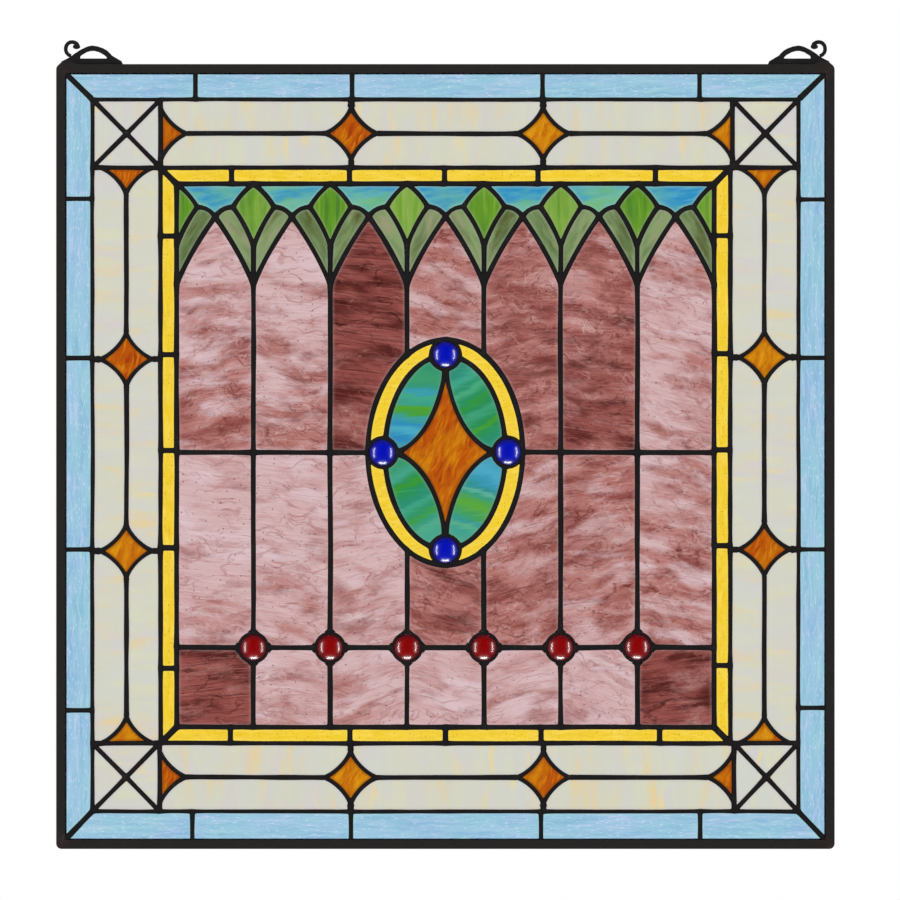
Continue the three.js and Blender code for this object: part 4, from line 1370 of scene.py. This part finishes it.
def newPiece(name, vertices, polygons, node, smooth=True):
    mesh = bpy.data.meshes.new(name)
    mesh.from_pydata([tuple(vertex) for vertex in vertices], [], polygons)
    mesh.validate()
    made = bmesh.new()
    made.from_mesh(mesh)
    bmesh.ops.recalc_face_normals(made, faces=made.faces)
    made.to_mesh(mesh)
    made.free()
    mesh.polygons.foreach_set("use_smooth", [smooth] * len(mesh.polygons))
    return placePiece(name, mesh, node)


def smoothBends(piece, degrees):
    piece.data.shade_smooth()
    piece.data.set_sharp_from_angle(angle=math.radians(degrees))


def makeLeading():
    stationCount = len(vertexPlace)
    rows = leadShape["rows"]
    vertices = []
    for way, surface in ((-1, glassFront), (1, glassBack)):
        for at, lift in zip(vertexPlace, vertexLift):
            vertices.append((at[0], surface + way * (leadShape["proud"] + lift), at[1]))
    polygons = []
    for face in faces:
        if face["area"] < 0:
            continue
        count = len(face["ring"])
        first = len(vertices)
        profile = [(glassFront, -1, *row) for row in rows]
        profile += [(glassFront, -1, leadShape["web"], rows[-1][1]),
                    (glassBack, 1, leadShape["web"], rows[-1][1])]
        profile += [(glassBack, 1, *row) for row in rows[::-1]]
        for surface, way, share, height in profile:
            for station, q in zip(face["stations"], face["ring"]):
                x, z = vertexPlace[station] + share * (q - vertexPlace[station])
                stand = height * (leadShape["proud"] + vertexLift[station])
                vertices.append((x, surface + way * stand, z))
        for k in range(count):
            ahead = (k + 1) % count
            here, there = face["stations"][k], face["stations"][ahead]
            a, b = first + k, first + ahead
            if here == there:
                polygons.append((here, b, a))
            else:
                polygons.append((here, there, b, a))
            for row in range(len(profile) - 1):
                a, b = first + row * count + k, first + row * count + ahead
                polygons.append((a, b, b + count, a + count))
            a, b = first + (len(profile) - 1) * count + k, first + (len(profile) - 1) * count + ahead
            if here == there:
                polygons.append((a, b, here + stationCount))
            else:
                polygons.append((a, b, there + stationCount, here + stationCount))
    outside = next(face for face in faces if face["area"] < 0)
    loop = [station for run in outside["runs"] for station in run["stations"][:-1]]
    for here, there in pairsRound(loop):
        polygons.append((here, there, there + stationCount, here + stationCount))
    piece = newPiece("solderedLeading", vertices, polygons, "leading")
    piece.data.materials.append(materials["lead"])


def cutFaces():
    for face in faces:
        face["runs"] = faceRuns(face["face"], edges)
        if face["area"] < 0:
            continue
        face["stations"] = [station for run in face["runs"] for station in run["stations"]]
        face["ring"] = insetRing(face["runs"], 0.0, leadShape["fillet"])


def addValues(mesh, name, kind, values):
    layer = mesh.attributes.new(name, kind, "POINT")
    layer.data.foreach_set("vector" if kind == "FLOAT_VECTOR" else "value", np.array(values, float).ravel())


def dropRepeats(rings):
    # leaves out the ring points that lie on top of the one before, in all rings alike
    first = rings[0]
    keep = [k for k in range(len(first)) if np.linalg.norm(first[k] - first[k - 1]) > paneShape["apart"]]
    return [[ring[k] for k in keep] for ring in rings]


def makePane(face, number):
    one = face["pane"]
    middles = np.array([vertexPlace[station] for station in face["stations"]])
    edge = middles + paneShape["edge"] * (face["ring"] - middles)
    rim = insetRing(face["runs"], paneShape["rim"], leadShape["fillet"])
    inner = insetRing(face["runs"], paneShape["inner"], leadShape["fillet"])
    rings = dropRepeats([edge, face["ring"], rim, inner])
    count = len(rings[0])
    flat = [tuple(at) for ring in rings for at in ring]
    layer = len(flat)
    vertices = [(x, glassFront, z) for x, z in flat] + [(x, glassBack, z) for x, z in flat]
    polygons = []
    for ring in range(len(rings) - 1):
        for k in range(count):
            ahead = (k + 1) % count
            a, b = ring * count + k, ring * count + ahead
            polygons.append((a, b, b + count, a + count))
            polygons.append((a + layer, a + count + layer, b + count + layer, b + layer))
    for k in range(count):
        ahead = (k + 1) % count
        polygons.append((k, ahead, ahead + layer, k + layer))
    last = layer - count
    loop = [Vector((x, z, 0)) for x, z in rings[-1]]
    for triangle in tessellate_polygon([loop]):
        a, b, c = (last + corner for corner in triangle)
        polygons.append((a, b, c))
        polygons.append((a + layer, c + layer, b + layer))
    piece = newPiece(one["name"], vertices, polygons, one["node"], smooth=False)
    mesh = piece.data
    lengthwise = np.array(one["along"], float)
    lengthwise /= np.linalg.norm(lengthwise)
    crosswise = np.array((-lengthwise[1], lengthwise[0]))
    middle = np.array(one["at"])
    # each pane is cut from another part of the sheet
    offset = np.array((noise.noise((number * 0.73, 0.2, 0.1)), noise.noise((0.4, number * 0.61, 0.7)),
                       noise.noise((0.9, 0.3, number * 0.57)))) * 40
    grain = []
    for x, y, z in vertices:
        away = (np.array((x, z)) - middle) / cm
        grain.append((float(away @ lengthwise) + offset[0], float(away @ crosswise) + offset[1],
                      offset[2] + y / cm))
    spread = np.array([(x, z) for x, _, z in vertices])
    lowest, highest = spread.min(0), spread.max(0)
    share = (spread - lowest) / (highest - lowest)
    addValues(mesh, "grain", "FLOAT_VECTOR", grain)
    fade = one.get("fade", 0.0)
    addValues(mesh, "cut", "FLOAT_VECTOR", [(u, v, one["tone"] + fade * (0.5 - v)) for u, v in share])
    # painted edge light and shade: strongest at the pane's edge under the lead, gone inside
    rimValues = [value for value in paneShape["rimValues"] for _ in range(count)]
    addValues(mesh, "rim", "FLOAT", rimValues * 2)
    mesh.materials.append(materials[one["node"] if one["kind"] == "petal" else one["kind"]])


jewelPieces = []
jewelShape = {
    "base": 10.6 * mm,  # the flange held under the lead
    "shows": 10.15 * mm,
    "wall": 1.0 * mm,  # how far the round side stands off the glass before the dome begins
    "chamfer": 0.3 * mm,
    "seat": 0.1 * mm,  # how far behind the glass's front the round side begins
    "taper": (0.05 * mm, 0.03 * mm),  # how much wider the side is at its foot and at its head
    "around": 56,
    "rings": 14,
}


def makeJewel(one):
    tip = low(one["node"]).y
    x0, z0 = np.array(one["at"]) + stray(one["at"])
    shows = jewelShape["shows"]
    start = glassFront - jewelShape["wall"]
    rise = start - tip
    radius = (shows**2 + rise**2) / (2 * rise)
    base = jewelShape["base"]
    chamfer, foot = jewelShape["chamfer"], glassFront + jewelShape["seat"]
    wide, narrow = jewelShape["taper"]
    profile = [(0.0, glassBack), (base * 0.7, glassBack), (base - chamfer, glassBack),
               (base, glassBack - chamfer), (base, foot), (shows + wide, foot),
               (shows + narrow, start + chamfer)]
    widest = math.asin(min(1.0, shows / radius))
    for k in range(jewelShape["rings"]):
        turn = widest * (1 - k / jewelShape["rings"])
        profile.append((radius * math.sin(turn), tip + radius - radius * math.cos(turn)))
    profile.append((0.0, tip))
    around = jewelShape["around"]
    vertices, polygons, rows = [], [], []
    for r, y in profile:
        if r == 0:
            rows.append([len(vertices)])
            vertices.append((x0, y, z0))
            continue
        rows.append(list(range(len(vertices), len(vertices) + around)))
        for k in range(around):
            turn = 2 * math.pi * k / around
            vertices.append((x0 + r * math.cos(turn), y, z0 + r * math.sin(turn)))
    for lowRow, highRow in zip(rows, rows[1:]):
        for k in range(around):
            ahead = (k + 1) % around
            corners = [lowRow[k % len(lowRow)], lowRow[ahead % len(lowRow)],
                       highRow[ahead % len(highRow)], highRow[k % len(highRow)]]
            polygons.append(tuple(dict.fromkeys(corners)))
    piece = newPiece(one["name"], vertices, polygons, one["node"])
    smoothBends(piece, 50)
    # how far out each point is, which sets the painted shade at the jewel's rim
    away = [math.hypot(x - x0, z - z0) / shows for x, _, z in vertices]
    addValues(piece.data, "rim", "FLOAT", [min(1.0, share) for share in away])
    addValues(piece.data, "grain", "FLOAT_VECTOR", [(x * 100, z * 100, y * 100) for x, y, z in vertices])
    piece.data.materials.append(materials[one["kind"]])
    jewelPieces.append(piece)


barShape = {
    "frontLip": 7.1 * mm,  # seen width of the bar from the front
    "backLip": 8.0 * mm,
    "wall": 1.5 * mm,
    "floor": 3.4 * mm,  # thickness of the bar's outer wall
    "edgeRound": 0.7 * mm,
    "faceParts": (2.2 * mm, 4.4 * mm),  # where the faces are parted, in from the outer side
    "sideParts": (3.0 * mm, 1.5 * mm, 0.0, -1.5 * mm, -3.0 * mm),
    "cornerRound": 4.2 * mm,
    "solderReach": 4.95 * mm,  # the solder on a mitre
    "solderProud": 0.35 * mm,
    "lump": (0.55, 0.8),  # least share, and how much more some of it has
    "lumpsPerMetre": 330,
    "wavesPerMetre": (55, 200, 55),
    "back": 0.25 * mm,  # how far the faces lie behind the frame's outermost points
    "wave": 0.10 * mm,  # how uneven the faces are
    "moundHalf": 2.8 * mm,  # half width of the solder under a hanger's foot
    "nearCorner": (0.0, 0.9, 1.8, 2.7, 4, 6, 8, 10.5, 13, 16),  # sections from each end, in mm
    "evenFrom": 22 * mm,
    "evenCount": 44,
}
outerLow = Vector((low("frame_left").x, 0, low("frame_bottom").z))
outerHigh = Vector((high("frame_right").x, 0, high("frame_top").z))
barFront, barBack = low("frame_top").y, high("frame_top").y


# The solder that runs up from the frame's corner to the hanger's foot: distance in, and height, in mm.
footSolder = ((0.0, 1.5, 3.0, 5.0, 7.8, 10.0, 12.5, 15.0, 18.0),
              (0.0, 0.4, 1.2, 2.6, 4.3, 4.7, 3.8, 1.0, 0.0))


def barSection():
    # the U of the bar: how far in from its outer face, and the depth
    r = barShape["edgeRound"]
    section = []

    def corner(u, y, fromTurn):
        for k in range(4):
            turn = fromTurn + k * quarter / 3
            section.append((u + r * math.cos(turn), y + r * math.sin(turn)))

    corner(r, barFront + r, 2 * quarter)
    for u in barShape["faceParts"]:
        section.append((u, barFront))
    corner(barShape["frontLip"] - r, barFront + r, 3 * quarter)
    section.append((barShape["frontLip"], barFront + barShape["wall"]))
    section.append((barShape["floor"], barFront + barShape["wall"]))
    section.append((barShape["floor"], barBack - barShape["wall"]))
    section.append((barShape["backLip"], barBack - barShape["wall"]))
    corner(barShape["backLip"] - r, barBack - r, 0)
    for u in barShape["faceParts"][::-1]:
        section.append((u, barBack))
    corner(r, barBack - r, quarter)
    for y in barShape["sideParts"]:
        section.append((0.0, y))
    return section


def roundCorner(x, z):
    # draws a place in towards the round outer corner of the frame
    reach = barShape["cornerRound"]
    towards = [reach - min(x - outerLow.x, outerHigh.x - x), reach - min(z - outerLow.z, outerHigh.z - z)]
    if min(towards) <= 0:
        return x, z
    shrink = 1 - max(towards) / math.hypot(*towards)
    wayX = 1 if x < 0 else -1
    wayZ = 1 if z < frameMiddle.z else -1
    return x + wayX * towards[0] * shrink, z + wayZ * towards[1] * shrink


def makeBar(name):
    flat = name in ("top", "bottom")
    near = {"top": outerHigh.z, "bottom": outerLow.z, "left": outerLow.x, "right": outerHigh.x}[name]
    inwards = -1 if name in ("top", "right") else 1
    start, end = (outerLow.x, outerHigh.x) if flat else (outerLow.z, outerHigh.z)
    length = end - start
    close = [s * mm for s in barShape["nearCorner"]]
    even = np.linspace(barShape["evenFrom"], length - barShape["evenFrom"], barShape["evenCount"])
    places = close + list(even) + [length - s for s in close[::-1]]
    section = barSection()
    least, more = barShape["lump"]
    waves = barShape["wavesPerMetre"]
    vertices, solder = [], []
    for s in places:
        for u, y in section:
            fromEnd = min(s, length - s)
            if fromEnd < u + 0.4 * mm or s in (places[0], places[-1]):
                at = u if s < length / 2 else length - u  # the mitre
                fromEnd = u
            else:
                at = s
            x, z = (start + at, near + inwards * u) if flat else (near + inwards * u, start + at)
            blob = math.exp(-(max(fromEnd - u, 0) / barShape["solderReach"]) ** 2)
            lump = least + more * noise.noise([part * barShape["lumpsPerMetre"] for part in (x, y, z)])
            wave = barShape["wave"] * noise.noise([part * scale for part, scale in zip((x, y, z), waves)])
            outwards = -1 if y < 0 else 1
            face = min(1.0, abs(y) / barBack) ** 6
            proud = face * (blob * lump * barShape["solderProud"] - barShape["back"] + wave)
            x, z = roundCorner(x, z)
            if name == "top" and u < 0.3 * mm:
                mound = np.interp(min(s, length - s) / mm, *footSolder) * mm
                z += mound * math.exp(-(y / barShape["moundHalf"]) ** 2) * (0.9 + 0.5 * (lump - least))
            vertices.append((x, y + outwards * proud, z))
            solder.append(min(1.0, blob * (0.7 + 0.6 * lump)))
    count = len(section)
    polygons = []
    for row in range(0, len(vertices) - count, count):
        for k in range(count):
            a, b = row + k, row + (k + 1) % count
            polygons.append((a, b, b + count, a + count))
    loop = [Vector((u, y, 0)) for u, y in section]
    for triangle in tessellate_polygon([loop]):
        polygons.append(tuple(triangle))
        polygons.append(tuple(len(vertices) - count + corner for corner in reversed(triangle)))
    bar = newPiece(f"frameBar_{name}", vertices, polygons, f"frame_{name}")
    addValues(bar.data, "solder", "FLOAT", solder)
    smoothBends(bar, 40)
    bar.data.materials.append(materials["frame"])


hangerShape = {
    "curlTip": (289.1 * mm, 15.1 * mm),
    "fuller": 0.22,  # millimetres that the rod is thickened by all round
    "knob": 0.5,  # and by how many more at the curl's tip
    "knobReach": 2.2 * mm,
    "edgeRound": 0.55 * mm,
    "arris": 50,  # edges sharper than this many degrees are rounded
}


def makeHanger(name):
    # the wrought piece with its edges rounded over, and its curl ending in a small knob
    node = f"hanger_{name}"
    mesh = bpy.data.objects[node].data.copy()
    mesh.name = f"hangerScroll_{name}"
    mesh.materials.clear()
    made = bmesh.new()
    made.from_mesh(mesh)
    bmesh.ops.remove_doubles(made, verts=made.verts, dist=0.01 * mm)
    bmesh.ops.dissolve_limit(made, angle_limit=math.radians(1), verts=made.verts, edges=made.edges)
    made.normal_update()
    tipX, tipZ = hangerShape["curlTip"]
    for corner in made.verts:
        way = Vector((corner.normal.x, 0, corner.normal.z))
        near = math.hypot(abs(corner.co.x) - tipX, corner.co.z - tipZ)
        if way.length > 0.1:
            knob = hangerShape["knob"] * math.exp(-(near / hangerShape["knobReach"]) ** 2)
            corner.co += way.normalized() * (hangerShape["fuller"] + knob) * mm
    arris = math.radians(hangerShape["arris"])
    rim = [edge for edge in made.edges if edge.calc_face_angle(0) > arris]
    bmesh.ops.bevel(made, geom=rim, offset=hangerShape["edgeRound"], segments=3, affect="EDGES",
                    profile=0.5, clamp_overlap=True)
    bmesh.ops.triangulate(made, faces=[face for face in made.faces if len(face.verts) > 4])
    made.to_mesh(mesh)
    made.free()
    piece = placePiece(f"hangerScroll_{name}", mesh, node)
    addValues(mesh, "solder", "FLOAT", [0.0] * len(mesh.vertices))
    smoothBends(piece, 40)
    mesh.materials.append(materials["hanger"])


cutFaces()
print("corners that did not close:", len(missedCorners))
makeLeading()
for number, face in enumerate(faces):
    if face["name"] is None:
        continue
    if face["pane"].get("jewel"):
        makeJewel(face["pane"])
    else:
        makePane(face, number)
print("glass set")
for name in sideNames:
    makeBar(name)
for name in ("left", "right"):
    makeHanger(name)
print("frame and hangers made")


glints = {
    "away": 6.0,
    "side": 55.0,  # degrees round from the front
    "sideReach": 25.0,  # degrees up and down
    "below": 67.0,
    "belowReach": 17.0,
    "wide": 0.22,
    "power": 4600.0,
}


def lightJewels():
    # long soft boxes that only the jewels see, for their thin bright lines
    group = bpy.data.collections.new("jewels")
    for piece in jewelPieces:
        group.objects.link(piece)
    away = glints["away"]
    turn = math.radians(glints["side"])
    tall = 2 * away * math.tan(math.radians(glints["sideReach"]))
    lamps = []
    for name, way in (("glintLeft", -1), ("glintRight", 1)):
        place = frameMiddle + away * Vector((way * math.sin(turn), -math.cos(turn), 0))
        lamps.append(areaLight(name, place, frameMiddle, glints["wide"], tall, glints["power"]))
    turn = math.radians(glints["below"])
    long = 2 * away * math.tan(math.radians(glints["belowReach"]))
    place = frameMiddle + away * Vector((0, -math.cos(turn), -math.sin(turn)))
    lamps.append(areaLight("glintBelow", place, frameMiddle, long, glints["wide"], glints["power"]))
    for lamp in lamps:
        lamp.light_linking.receiver_collection = group
        lamp.light_linking.blocker_collection = group


lightJewels()
print("glints set")
